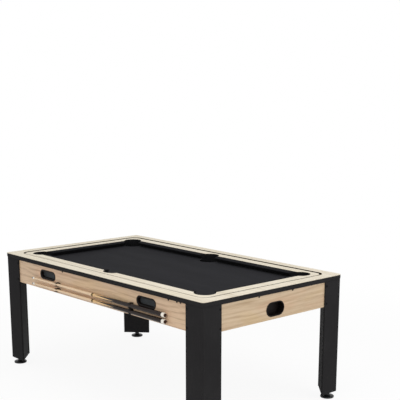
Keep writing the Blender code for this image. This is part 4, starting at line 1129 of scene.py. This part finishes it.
@dataclass
class Aprons(Part):
    """The oak boards between the legs, their windows and the small clamps under the rail."""

    half_length: float = 0.9077
    half_width: float = 0.4487
    low: float = 0.6297
    high: float = 0.7917
    face_x: float = 1.049
    face_y: float = 0.582
    thickness: float = 0.015
    bevel: float = 0.0008
    side_window: tuple[float, float] = (0.188, 0.066)
    side_window_x: float = 0.539
    side_window_z: float = 0.734
    end_window: tuple[float, float] = (0.156, 0.090)
    end_window_z: float = 0.693
    flange: float = 0.004
    end_tray_ease: float = 0.0004
    tray_depth: float = 0.022
    tray_floor: float = 0.002
    tray_inset: float = 0.0125
    tray_round: float = 0.004
    slope_centre: tuple[float, float] = (0.0075, -0.0035)
    slope_round: float = 0.0045
    lip_height: float = 0.0018
    lip_width: float = 0.0060
    lip_round: float = 0.0010
    neck: float = 0.0043
    standoff: float = 0.0003
    clamp_half: float = 0.0035
    clamp_gap: float = 0.0012
    clamp_out: tuple[float, ...] = (0.0003, 0.005, 0.005, 0.0003)
    clamp_down: tuple[float, ...] = (0.0, 0.0, 0.004, 0.01)
    clamp_places_x: tuple[float, ...] = (-0.356, 0.748, 0.824, 0.856)
    clamp_places_y: tuple[float, ...] = (-0.14, 0.15)

    def window(self, size: tuple[float, float], along: float, up: float) -> np.ndarray:
        """A window's hole: an oblong as far inside its tray's edge as the flange is wide.

        Args:
            size: The tray's length and height over its flange.
            along: Where its middle lies along the board.
            up: Where its middle lies above the floor.

        Returns:
            The outline.
        """
        return stadium(size[0] / 2 - self.flange, size[1] / 2 - self.flange) + (along, up)

    def build(self) -> None:
        """Make the boards, the trays and the clamps."""
        for side, sy in SIDES.items():
            holes = [self.window(self.side_window, sx * self.side_window_x, self.side_window_z)
                     for sx in ENDS.values()]
            self.add_board(side, sy * self.face_y, self.half_length, holes, Axis.Y, "oak_front")
        for end, sx in ENDS.items():
            hole = self.window(self.end_window, 0.0, self.end_window_z)
            self.add_board(end, sx * self.face_x, self.half_width, [hole], Axis.X, "oak_end")
            self.base.soften("tray_wall", self.end_tray_ease, f"puck_tray_{end}")
            for side, sy in SIDES.items():
                self.add_tray(f"window_tray_{side}_{end}", sx * self.side_window_x, sy)
        clamps = [self.clamp(-sy * place, sy * self.face_y, Axis.Y)
                  for sy in SIDES.values() for place in self.clamp_places_x]
        clamps += [self.clamp(place, sx * self.face_x, Axis.X)
                   for sx in ENDS.values() for place in self.clamp_places_y]
        self.base.add(joined("rail_clamps", clamps), "frame", "black_plastic", "foot_plastic")

    def add_board(self, name: str, face: float, half: float, holes: Sequence[np.ndarray], axis: Axis,
                  finish: str) -> None:
        """One apron board.

        Args:
            name: Its side or end.
            face: Where its outer face lies.
            half: Half its length.
            holes: The windows' holes.
            axis: The axis that it faces along.
            finish: Its finish.
        """
        outline = np.array([(-half, self.low), (half, self.low), (half, self.high), (-half, self.high)])
        levels = sorted((face, face - math.copysign(self.thickness, face)))
        board = slab(f"apron_board_{name}", outline, holes, *levels, self.bevel, axis)
        self.base.add(board, "frame", "oak_apron", finish, f"apron_{name}")

    def tray_section(self) -> np.ndarray:
        """A tray's section, from its floor up the inside, over the lip and down the outside.

        Returns:
            Distance in from the flange's edge and out from the board's face, for each point.
        """
        depth, bend = self.tray_depth, self.tray_round
        lip, edge = self.lip_height, self.lip_round
        return np.concatenate([
            arc((self.tray_inset + bend, bend - depth), bend, -QUARTER, -math.pi, 6),
            arc(self.slope_centre, self.slope_round, 0.0, QUARTER, 6),
            [(self.lip_width + 0.0006, lip - 0.0004), (self.lip_width, lip)],
            arc((edge, lip - edge), edge, QUARTER, math.pi, 5),
            [(0.0, self.standoff), (self.neck, self.standoff), (self.neck, -depth - self.tray_floor)],
        ])

    def add_tray(self, name: str, along: float, sy: float) -> None:
        """One moulded tray behind a side window, its section carried round the oblong.

        Args:
            name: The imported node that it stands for.
            along: Where its middle lies along the board.
            sy: The board's side.
        """
        half_length, half_height = self.side_window[0] / 2, self.side_window[1] / 2
        rings = []
        for step_in, out in self.tray_section():
            ring = stadium(half_length - step_in, half_height - step_in) + (along, self.side_window_z)
            rings.append(np.column_stack([ring, np.full(len(ring), sy * (self.face_y + out))]))
        piece = tube(f"{name}_moulded", Axis.Y.placed(np.stack(rings)))
        self.base.add(piece, "frame", "black_plastic", "tray_wall", name)
        # The back panel's outward faces take the lighter grey-blue finish, a painted reflection.
        faces = piece.data.polygons
        deep = vectors(faces, "center")[:, 1] * sy < self.face_y - self.tray_depth * 0.8
        self.base.part_finish(piece, "tray_back_painted_reflection", deep & (vectors(faces, "normal")[:, 1] * sy > 0.5))

    def clamp(self, along: float, face: float, axis: Axis) -> Piece:
        """A small wedge tucked under the rail's lip on an apron's face.

        Args:
            along: Where its middle lies along the board.
            face: Where the board's outer face lies.
            axis: The axis that the board faces along.

        Returns:
            The clamp.
        """
        grid = np.empty((2, len(self.clamp_out), 3))
        grid[..., 0] = [[along - self.clamp_half], [along + self.clamp_half]]
        grid[..., 1] = self.high - self.clamp_gap - np.array(self.clamp_down)
        grid[..., 2] = face + math.copysign(1.0, face) * np.array(self.clamp_out)
        return tube("clamp", axis.placed(grid))


@dataclass
class Cues(Part):
    """Two cues in four clips; each cue is turned in sections from tip to bumper."""

    length: float = 1.448
    shift: float = 0.018
    centre_y: float = -0.601
    heights: tuple[tuple[str, float], ...] = (("upper", 0.695), ("lower", 0.656))
    tip_radius: float = 0.0065
    joint_radius: float = 0.0108
    butt_radius: float = 0.0145
    crown_radius: float = 0.0106
    tip_end: float = 0.009
    ferrule_end: float = 0.029
    ring_inner: float = 0.006
    ring_outer: float = 0.011
    forearm: float = 0.235
    band: float = 0.028
    bumper: float = 0.004
    bumper_radius: float = 0.0108
    bumper_round: float = 0.002
    gap: float = 0.0002
    clip_ease: float = 0.0004

    def radius(self, distance: np.ndarray) -> np.ndarray:
        """The cue's radius: two straight tapers that meet at the joint.

        Args:
            distance: Distances from the tip.

        Returns:
            The radius at each distance.
        """
        half = self.length / 2
        front = self.tip_radius + (self.joint_radius - self.tip_radius) * distance / half
        back = self.joint_radius + (self.butt_radius - self.joint_radius) * (distance - half) / half
        return np.where(distance < half, front, back)

    def section(self, start: float, stop: float, proud: float = 0.0, edge: float = 0.0004) -> np.ndarray:
        """One length of the cue with eased ends.

        Args:
            start: Distance of its front end from the tip.
            stop: Distance of its back end.
            proud: How far it stands out of the taper.
            edge: The ease at each end.

        Returns:
            Radius and distance of each point.
        """
        along = np.linspace(start + edge, stop - edge, 14)
        body = np.stack([self.radius(along) + proud, along], axis=1)
        first, last = self.radius(np.array([start, stop])) + proud - edge
        return np.concatenate([[(0.0, start), (first, start)], body, [(last, stop), (0.0, stop)]])

    def parts(self) -> list[tuple[str, str, np.ndarray]]:
        """Every length of a cue.

        Returns:
            Name, finish and profile of each.
        """
        half, end, gap = self.length / 2, self.length, self.gap
        crown, edge = self.crown_radius, self.bumper_round
        tip = np.concatenate([
            arc((0.0, crown), crown, -QUARTER, -QUARTER + 0.60, 8),
            [(self.tip_radius - 0.0002, 0.0027), (self.tip_radius, self.tip_end), (0.0, self.tip_end)],
        ])
        bumper = np.concatenate([
            [(0.0, end - self.bumper + gap), (self.bumper_radius, end - self.bumper + gap)],
            arc((self.bumper_radius - edge, end - edge), edge, 0.0, QUARTER, 6),
            [(0.0, end)],
        ])
        inner, outer, butt = self.ring_inner, self.ring_outer, half + self.forearm
        return [
            ("tip", "cue_tip_leather", tip),
            ("ferrule", "cue_ferrule", self.section(self.tip_end + gap, self.ferrule_end)),
            ("shaft", "cue_shaft", self.section(self.ferrule_end + gap, half - outer - gap)),
            ("ring_front", "cue_collar", self.section(half - outer, half - inner, 0.0004)),
            ("ring_middle", "cue_butt", self.section(half - inner, half + inner, 0.0003)),
            ("ring_back", "cue_collar", self.section(half + inner, half + outer, 0.0004)),
            ("forearm", "cue_forearm", self.section(half + outer + gap, butt)),
            ("grip", "cue_butt", self.section(butt + gap, end - self.band)),
            ("band", "cue_ferrule", self.section(end - self.band + gap, end - self.bumper, 0.0001, 0.0012)),
            ("bumper", "cue_rubber", bumper),
        ]

    def build(self) -> None:
        """Turn the cues and dress the clips."""
        start = self.shift - self.length / 2
        for level, height in self.heights:
            for name, finish, profile in self.parts():
                piece = lathe(f"cue_{level}_{name}", profile, (start, self.centre_y, height), Axis.X, 40)
                replaced = (f"cue_{level}",) if name == "shaft" else ()
                self.base.add(piece, f"cue_{level}", "maple_cue", finish, *replaced)
            for end in ENDS:
                self.base.soften("black_plastic", self.clip_ease, f"cue_clip_{level}_{end}")


@dataclass
class Cabinet(Part):
    """The playfield's walls, pivots, locks and blower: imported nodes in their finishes."""

    wall_ease: float = 0.0004
    corner_ease: float = 0.0010
    beam_ease: float = 0.0015
    steel_ease: float = 0.0005
    edging_ease: float = 0.0003
    blower_ease: float = 0.0006

    def build(self) -> None:
        """Dress the nodes."""
        soften = self.base.soften
        for side in SIDES:
            soften("oak_cabinet", self.wall_ease, f"cabinet_side_{side}")
            for end in ENDS:
                soften("black_foil", self.corner_ease, f"cabinet_corner_{side}_{end}")
        for end in ENDS:
            soften("oak_end", self.wall_ease, f"cabinet_end_{end}")
            soften("pine_beam", self.beam_ease, f"pivot_beam_{end}")
            soften("plated_steel", self.steel_ease, f"pivot_shaft_{end}", f"lock_bolt_{end}")
        soften("black_edging", self.edging_ease, "hockey_rim_edging")
        soften("black_plastic", self.blower_ease, "blower_housing", "blower_impeller")


@dataclass
class PoolSide(Part):
    """The pool face: rim, bed, cloth, cushions and pocket cups."""

    field: Playfield
    bevel: float = 0.0009
    edging_bevel: float = 0.0004
    board_bevel: float = 0.0008
    cloth_bevel: float = 0.0003
    cloth_thickness: float = 0.0008
    cloth_gap: float = 0.0001
    rim_margin: float = 0.01
    cushion_width: float = 0.045
    nose_height: float = 0.028
    nose_radius: float = 0.003
    base_width: float = 0.014
    tongue: float = 0.018
    top_drop: float = 0.0015
    crown: float = 0.0006
    hollow: float = 0.0008
    end_ease: float = 0.0016
    corner_run: float = 0.030
    middle_run: float = 0.011
    jaw_gap: float = 0.002
    cup_wall: float = 0.003
    cup_depth: float = 0.138
    cup_taper: float = 0.014
    cup_round: float = 0.012
    cup_lip: float = 0.0012
    cup_ramp: float = 0.004
    cup_gap: float = 0.0004
    cup_rim_gap: float = 0.0005
    cup_steps: int = 144

    def build(self) -> None:
        """Make the pool face."""
        field = self.field
        under = field.face - field.rim_thickness
        board = field.outline(field.edging + field.gap)
        rim = slab("pool_rim_board", board, [field.pool_opening()], under, field.top, self.bevel)
        self.base.add(rim, "playfield", "oak_top", "oak_top", "pool_rim")
        limit = np.array([field.half_length, field.half_width]) - self.rim_margin
        inside = (np.abs(vectors(rim.data.polygons, "center")[:, :2]) < limit).all(axis=1)
        upright = np.abs(vectors(rim.data.polygons, "normal")[:, 2]) < 0.5
        self.base.part_finish(rim, "black_edging", inside & upright)
        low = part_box("pool_rim_edging")[0].z
        band = slab("pool_rim_band", field.outline(0.0), [field.outline(field.edging)], low, field.top,
                    self.edging_bevel)
        self.base.add(band, "playfield", "black_laminate", "black_edging", "pool_rim_edging")
        self.add_bed()
        for name, run in self.cushion_runs().items():
            self.add_cushion(name, *run)
        for name, place in field.pockets().items():
            self.add_cup(name, *place)

    def add_bed(self) -> None:
        """The board and the cloth stretched over it, both holed for the pockets."""
        field = self.field
        side = field.edging + field.wall + field.gap
        half_x, half_y = field.half_length - side, field.half_width - side
        outline = field.outline(side, 12)
        holes = [circle((x, y), radius, 72) for x, y, radius in field.pockets().values()]
        level = field.cloth_height
        board = slab("bed_board", outline, holes, level - field.bed_thickness,
                     level - self.cloth_thickness - self.cloth_gap, self.board_bevel)
        self.base.add(board, "playfield", "black_cloth", "bare_board", "pool_bed_cloth")
        cloth = slab("bed_cloth", outline, holes, level - self.cloth_thickness, level, self.cloth_bevel)
        self.base.add(cloth, "playfield", "black_cloth", "bed_cloth")
        hole_area = sum(math.pi * radius ** 2 for _, _, radius in field.pockets().values())
        4 * half_x * half_y - hole_area

    def cushion_runs(self) -> dict[str, tuple[float, ...]]:
        """Where each cushion runs.

        Returns:
            Start, stop, the run of each sheared end, the turn about Z and the rail's distance, by name.
        """
        field = self.field
        (edge_x, edge_y), (x, y) = field.opening, field.corner_centre
        corner = x - reach(field.corner_pocket, y, edge_y) - self.jaw_gap
        middle = reach(field.middle_pocket, field.middle_centre, edge_y) + self.jaw_gap
        end_stop = y - reach(field.corner_pocket, x, edge_x) - self.jaw_gap
        long_left = (-corner, -middle, self.corner_run, self.middle_run)
        long_right = (middle, corner, self.middle_run, self.corner_run)
        short = (-end_stop, end_stop, self.corner_run, self.corner_run)
        return {
            "front_left": (*long_left, 0.0, edge_y),
            "front_right": (*long_right, 0.0, edge_y),
            "back_right": (*long_left, math.pi, edge_y),
            "back_left": (*long_right, math.pi, edge_y),
            "left": (*short, -QUARTER, edge_x),
            "right": (*short, QUARTER, edge_x),
        }

    def cushion_section(self) -> np.ndarray:
        """A cushion's section, clockwise: crowned top, round nose, undercut face, tongue under the rim.

        Returns:
            Distance in from the rim and height above the cloth, for each point.
        """
        gap, depth = self.field.gap, self.field.cloth_depth
        top = depth - self.top_drop
        width, radius = self.cushion_width, self.nose_radius
        shoulder, nose_top = top - 0.0004, self.nose_height + radius
        run = np.linspace(0.0035, width - radius, 14)
        share = (run - run[0]) / (run[-1] - run[0])
        crown = shoulder - (shoulder - nose_top) * share + self.crown * np.sin(math.pi * share)
        nose = arc((width - radius, self.nose_height), radius, QUARTER, -QUARTER / 2, 14)[1:]
        share = np.linspace(0.08, 0.96, 9)[:, None]
        foot = np.array([self.base_width, gap + 0.0008])
        hollow = self.hollow * np.sin(math.pi * share) * (1.0, -0.5)
        under = depth - self.field.rim_thickness - gap
        return np.concatenate([
            [(gap, top - 0.0022), (gap + 0.0006, top - 0.0008), (gap + 0.0018, shoulder)],
            np.stack([run, crown], axis=1), nose, nose[-1] + (foot - nose[-1]) * share + hollow,
            [(self.base_width - 0.001, gap), (-self.tongue, gap), (-self.tongue, under), (gap, under)],
        ])

    def add_cushion(self, name: str, start: float, stop: float, start_run: float, stop_run: float,
                    turn: float, edge: float) -> None:
        """One cushion, its section carried along the rail.

        Each end is sheared: a point moves along by the run times its share of the width. At the ends the
        section shrinks about its middle by the ease times one less the sine of a quarter turn.

        Args:
            name: The cushion's place.
            start: Where it starts along the rail.
            stop: Where it stops.
            start_run: How far the first end is sheared.
            stop_run: How far the last end is sheared.
            turn: The turn about Z that brings it to its side.
            edge: The rail's distance from the middle.
        """
        section = self.cushion_section()
        to_middle = section.mean(axis=0) - section
        to_middle /= np.maximum(np.linalg.norm(to_middle, axis=1, keepdims=True), TINY)
        ease = self.end_ease
        quarter = np.linspace(0.0, QUARTER, 6)
        shrink, step = ease * (1 - np.sin(quarter)), ease * (1 - np.cos(quarter))
        body = np.linspace(start + ease, stop - ease, 40)[1:-1]
        along = np.concatenate([start + step, body, stop - step[::-1]])[:, None]
        small = np.concatenate([shrink, np.zeros(len(body)), shrink[::-1]])
        rings = section + to_middle * small[:, None, None]
        inward, height = rings[..., 0], rings[..., 1]
        share = np.clip((along - start) / (stop - start), 0, 1)
        shear = (1 - share) * start_run - share * stop_run
        weight = np.clip(np.abs(share - 0.5) * 2, 0, 1) ** 12
        place = along + shear * weight * inward / self.cushion_width
        across = inward - edge
        cos, sin = math.cos(turn), math.sin(turn)
        grid = np.stack([place * cos - across * sin, place * sin + across * cos,
                         height + self.field.cloth_height], axis=-1)
        piece = tube(f"rail_cushion_{name}", grid, CUSHION_ANGLE)
        # The cushion takes the darker copy of the cloth, painted shade for its shaded face.
        self.base.add(piece, "playfield", "black_cloth", "cushion_cloth_painted_shade", f"cushion_{name}")

    def cup_tops(self, x: float, y: float, turn: np.ndarray, outer: float) -> np.ndarray:
        """How high a cup's wall goes at each turn.

        It ends under the cloth where the mouth opens to the bed, and rises to the rim behind, with a
        short smooth ramp that stays inside the rim's bite.

        Args:
            x: The pocket's centre along.
            y: Its centre across.
            turn: The turns.
            outer: The wall's outer radius.

        Returns:
            The heights.
        """
        around = np.stack([np.cos(turn), np.sin(turn)], axis=-1)
        outside = np.min([
            (np.abs((x, y) + radius * around) - self.field.opening).max(axis=1)
            for radius in (outer, outer - self.cup_wall)
        ], axis=0)
        share = np.clip((outside - self.cup_gap) / self.cup_ramp, 0, 1)
        low, high = self.field.cloth_height - self.cup_gap, self.field.top - self.cup_rim_gap
        return low + (high - low) * share * share * (3 - 2 * share)

    def add_cup(self, name: str, x: float, y: float, radius: float) -> None:
        """One pocket cup, its section carried round its axis.

        Args:
            name: The pocket's place.
            x: Its centre along.
            y: Its centre across.
            radius: Its radius.
        """
        field, wall, lip, steps = self.field, self.cup_wall, self.cup_lip, self.cup_steps
        turn = np.linspace(0, 2 * math.pi, steps, endpoint=False)
        outer = radius - field.gap
        inner = outer - wall
        neck = field.cloth_height - field.bed_thickness - field.gap
        bottom = field.top - self.cup_depth
        floor = outer - self.cup_taper - self.cup_round
        centre = (floor, bottom + self.cup_round)
        below = np.array([(0.0, bottom + wall), (floor * 0.5, bottom + wall),
                          *arc(centre, self.cup_round - wall, -QUARTER, 0.0, 8), (inner, neck)])
        after = np.array([(outer, neck), *arc(centre, self.cup_round, 0.0, -QUARTER, 8),
                          (floor * 0.5, bottom), (0.0, bottom)])
        edge = arc((0.0, 0.0), lip, math.pi, 0.0, 8)
        edge_radius = (inner + outer) / 2 + edge[:, 0] * (wall / 2) / lip
        radii = np.concatenate([below[:, 0], edge_radius, after[:, 0]])
        heights = np.concatenate([
            np.broadcast_to(below[:, 1], (steps, len(below))),
            self.cup_tops(x, y, turn, outer)[:, None] - lip + edge[:, 1],
            np.broadcast_to(after[:, 1], (steps, len(after))),
        ], axis=1)
        grid = np.stack([x + np.outer(np.cos(turn), radii), y + np.outer(np.sin(turn), radii), heights],
                        axis=-1)
        piece = mesh_object(f"cup_{name}", grid, grid_faces(steps, len(radii), True, False))
        self.base.add(piece, "playfield", "black_plastic", "pocket_plastic", f"pocket_{name}")


@dataclass
class HockeySide(Part):
    """The hockey face: rim board, glossy field and its painted lines."""

    field: Playfield
    ease: float = 0.0009
    line: float = 0.0065
    paint: float = 0.00012
    paint_gap: float = 0.00001
    paint_bevel: float = 0.00002
    under_rim: float = 0.004
    zone: float = 0.32
    circle_radius: float = 0.11
    spot: float = 0.0085
    ring_x: float = 0.607
    ring_y: float = 0.218
    ring_radius: float = 0.084
    crease_x: float = 0.84
    crease_half: float = 0.116
    crease_round: float = 0.008

    def build(self) -> None:
        """Dress the boards and paint the field."""
        self.base.soften("oak_rink", self.ease, "hockey_rim")
        self.base.palette.dress(self.base.nodes["hockey_field"], "field_gloss")
        strokes = [*self.straight_lines(), *self.rings_and_spots()]
        self.base.add(joined("field_lines", strokes), "playfield", "hockey_gloss", "field_paint")

    def stroke(self, outer: np.ndarray, *holes: np.ndarray) -> Piece:
        """A painted shape on the field's face, with its outline and its holes."""
        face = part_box("hockey_field")[0].z
        return slab("stroke", outer, holes, face - self.paint, face - self.paint_gap, self.paint_bevel)

    def bar(self, x0: float, x1: float, y0: float, y1: float) -> Piece:
        """A straight stroke between two corners."""
        return self.stroke(np.array([(x0, y0), (x1, y0), (x1, y1), (x0, y1)]))

    def straight_lines(self) -> list[Piece]:
        """The centre line, the two zone lines and the goal creases.

        Returns:
            The strokes.
        """
        half, ring = self.line / 2, self.circle_radius
        edge = self.field.opening[1] + self.under_rim
        made = [self.bar(-half, half, ring - half, edge), self.bar(-half, half, -edge, half - ring)]
        for sx in ENDS.values():
            made.append(self.bar(sx * self.zone - half, sx * self.zone + half, -edge, edge))
            made.append(self.stroke(self.crease(sx)))
        return made

    def crease(self, sx: float) -> np.ndarray:
        """A goal crease: a line with two round corners that starts and ends at the rim.

        Args:
            sx: The end of the field.

        Returns:
            The outline, counter-clockwise.
        """
        half, bend = self.line / 2, self.crease_round
        rim = self.field.opening[0] - self.under_rim
        wide, narrow = self.crease_half + half, self.crease_half - half
        outside, inside = self.crease_x - half + bend, self.crease_x + self.line
        upper = np.concatenate([
            [(rim, wide)], arc((outside, wide - bend), bend, QUARTER, math.pi, 8)])
        under = np.concatenate([
            arc((inside, narrow - half), half, math.pi, QUARTER, 6), [(rim, narrow)]])
        outline = np.concatenate([upper, (upper * (1, -1))[::-1], (under * (1, -1))[::-1], under])
        return outline if sx > 0 else (outline * (-1, 1))[::-1]

    def rings_and_spots(self) -> list[Piece]:
        """The centre circle and the four face-off rings, each with a round spot in its middle.

        Returns:
            The strokes.
        """
        half = self.line / 2
        places = {(0.0, 0.0): self.circle_radius}
        places.update({(sx * self.ring_x, sy * self.ring_y): self.ring_radius for sx, sy in CORNERS.values()})
        made = []
        for place, radius in places.items():
            made.append(self.stroke(circle(place, radius + half, 96), circle(place, radius - half, 96)))
            made.append(self.stroke(circle(place, self.spot, 32)))
        return made


# Studio


@dataclass
class Studio:
    """The floor, the lamps, the world and the camera."""

    camera_place: Triple = (4.686, -3.862, 1.983)
    camera_azimuth: float = 48.08
    camera_down: float = 13.24
    sensor: float = 36.0
    lens: float = 81.58
    shift: tuple[float, float] = (-0.0033, 0.253)
    clip_end: float = 200.0
    floor_size: float = 60.0
    floor_matt: float = 0.86
    floor_white: float = 0.91
    shadow_reach: float = 1.4
    white_reach: float = 4.0
    world_strength: float = 0.62

    def build(self) -> None:
        """Set the stage."""
        self.add_camera()
        self.add_floor()
        self.add_world()
        self.add_lamp("lamp_above", (0.5, -0.4, 4.2), (0.0, 0.0, 0.8), 3.4, 60.0)
        self.add_lamp("lamp_right", (4.6, 0.6, 2.4), (0.6, 0.0, 0.6), 2.4, 52.0)
        self.add_lamp("lamp_front", (1.8, -4.4, 2.4), (0.4, 0.0, 0.6), 2.2, 38.0)
        bpy.context.scene.view_settings.view_transform = "Standard"

    def add_camera(self) -> None:
        """The camera at the photograph's place, aimed by its azimuth and its tilt."""
        data = bpy.data.cameras.new("camera")
        data.sensor_fit = "HORIZONTAL"
        data.sensor_width = self.sensor
        data.lens = self.lens
        data.shift_x, data.shift_y = self.shift
        data.clip_end = self.clip_end
        camera = bpy.data.objects.new("camera", data)
        camera.location = self.camera_place
        tilt = QUARTER - math.radians(self.camera_down)
        camera.rotation_euler = (tilt, 0.0, math.radians(self.camera_azimuth))
        bpy.context.scene.collection.objects.link(camera)
        bpy.context.scene.camera = camera

    def add_lamp(self, name: str, place: Triple, target: Triple, size: float, watts: float) -> None:
        """A soft square lamp.

        Args:
            name: The lamp's name.
            place: Where it hangs.
            target: What it points at.
            size: Its side.
            watts: Its power.
        """
        data = bpy.data.lights.new(name, "AREA")
        data.shape = "SQUARE"
        data.size = size
        data.energy = watts
        lamp = bpy.data.objects.new(name, data)
        lamp.location = place
        lamp.rotation_euler = (Vector(target) - Vector(place)).to_track_quat("-Z", "Y").to_euler()
        bpy.context.scene.collection.objects.link(lamp)

    def seen_share(self, graph: Graph) -> Socket:
        """1 for rays from the camera, from mirrors and through glass, and 0 for light.

        Args:
            graph: The floor's or the world's graph.

        Returns:
            The share.
        """
        path = graph.node("ShaderNodeLightPath").outputs
        camera, mirror, glass = (Socket(graph, path[f"Is {kind} Ray"])
                                 for kind in ("Camera", "Glossy", "Transmission"))
        return (camera + mirror + glass).sum("MINIMUM", 1.0)

    def add_floor(self) -> None:
        """A white floor that keeps a light shadow."""
        graph = Graph("floor")
        matt = graph.value("ShaderNodeBsdfDiffuse", 0, {"Color": (*scaled(EVEN, self.floor_matt), 1.0)})
        white = graph.value("ShaderNodeEmission", 0, {"Color": WHITE, "Strength": 1.0})
        far = graph.value("ShaderNodeVectorMath", "Value", {"Vector": graph.places()}, operation="LENGTH")
        fade = far.step(self.shadow_reach, self.white_reach)
        share = self.seen_share(graph) * (self.floor_white + fade * (1.0 - self.floor_white))
        mixed = graph.value("ShaderNodeMixShader", 0, {0: share, 1: matt, 2: white})
        graph.node("ShaderNodeOutputMaterial", {"Surface": mixed})
        half = self.floor_size / 2
        corners = np.array([(-half, -half, 0.0), (half, -half, 0.0), (half, half, 0.0), (-half, half, 0.0)])
        floor = mesh_object("floor", corners, [(0, 1, 2, 3)])
        floor.data.materials.append(graph.owner)

    def add_world(self) -> None:
        """A white world that lights evenly and is plain white where it is seen."""
        world = bpy.data.worlds.new("world")
        bpy.context.scene.world = world
        graph = Graph("world", world)
        lit = graph.value("ShaderNodeBackground", 0, {"Color": WHITE, "Strength": self.world_strength})
        seen = graph.value("ShaderNodeBackground", 0, {"Color": WHITE})
        mixed = graph.value("ShaderNodeMixShader", 0, {0: self.seen_share(graph), 1: lit, 2: seen})
        graph.node("ShaderNodeOutputWorld", {"Surface": mixed})


def main() -> None:
    """Build the stage and every part."""
    logging.basicConfig(level=logging.INFO, format="%(message)s")
    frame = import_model()
    Studio().build()
    base = Assembly(frame, Palette())
    field = Playfield()
    table = [kind(base) for kind in (TopFrame, Legs, Aprons, Cues, Cabinet)]
    for part in (*table, PoolSide(base, field), HockeySide(base, field)):
        LOG.info("building %s", type(part).__name__)
        part.build()


if __name__ == "__main__":
    main()
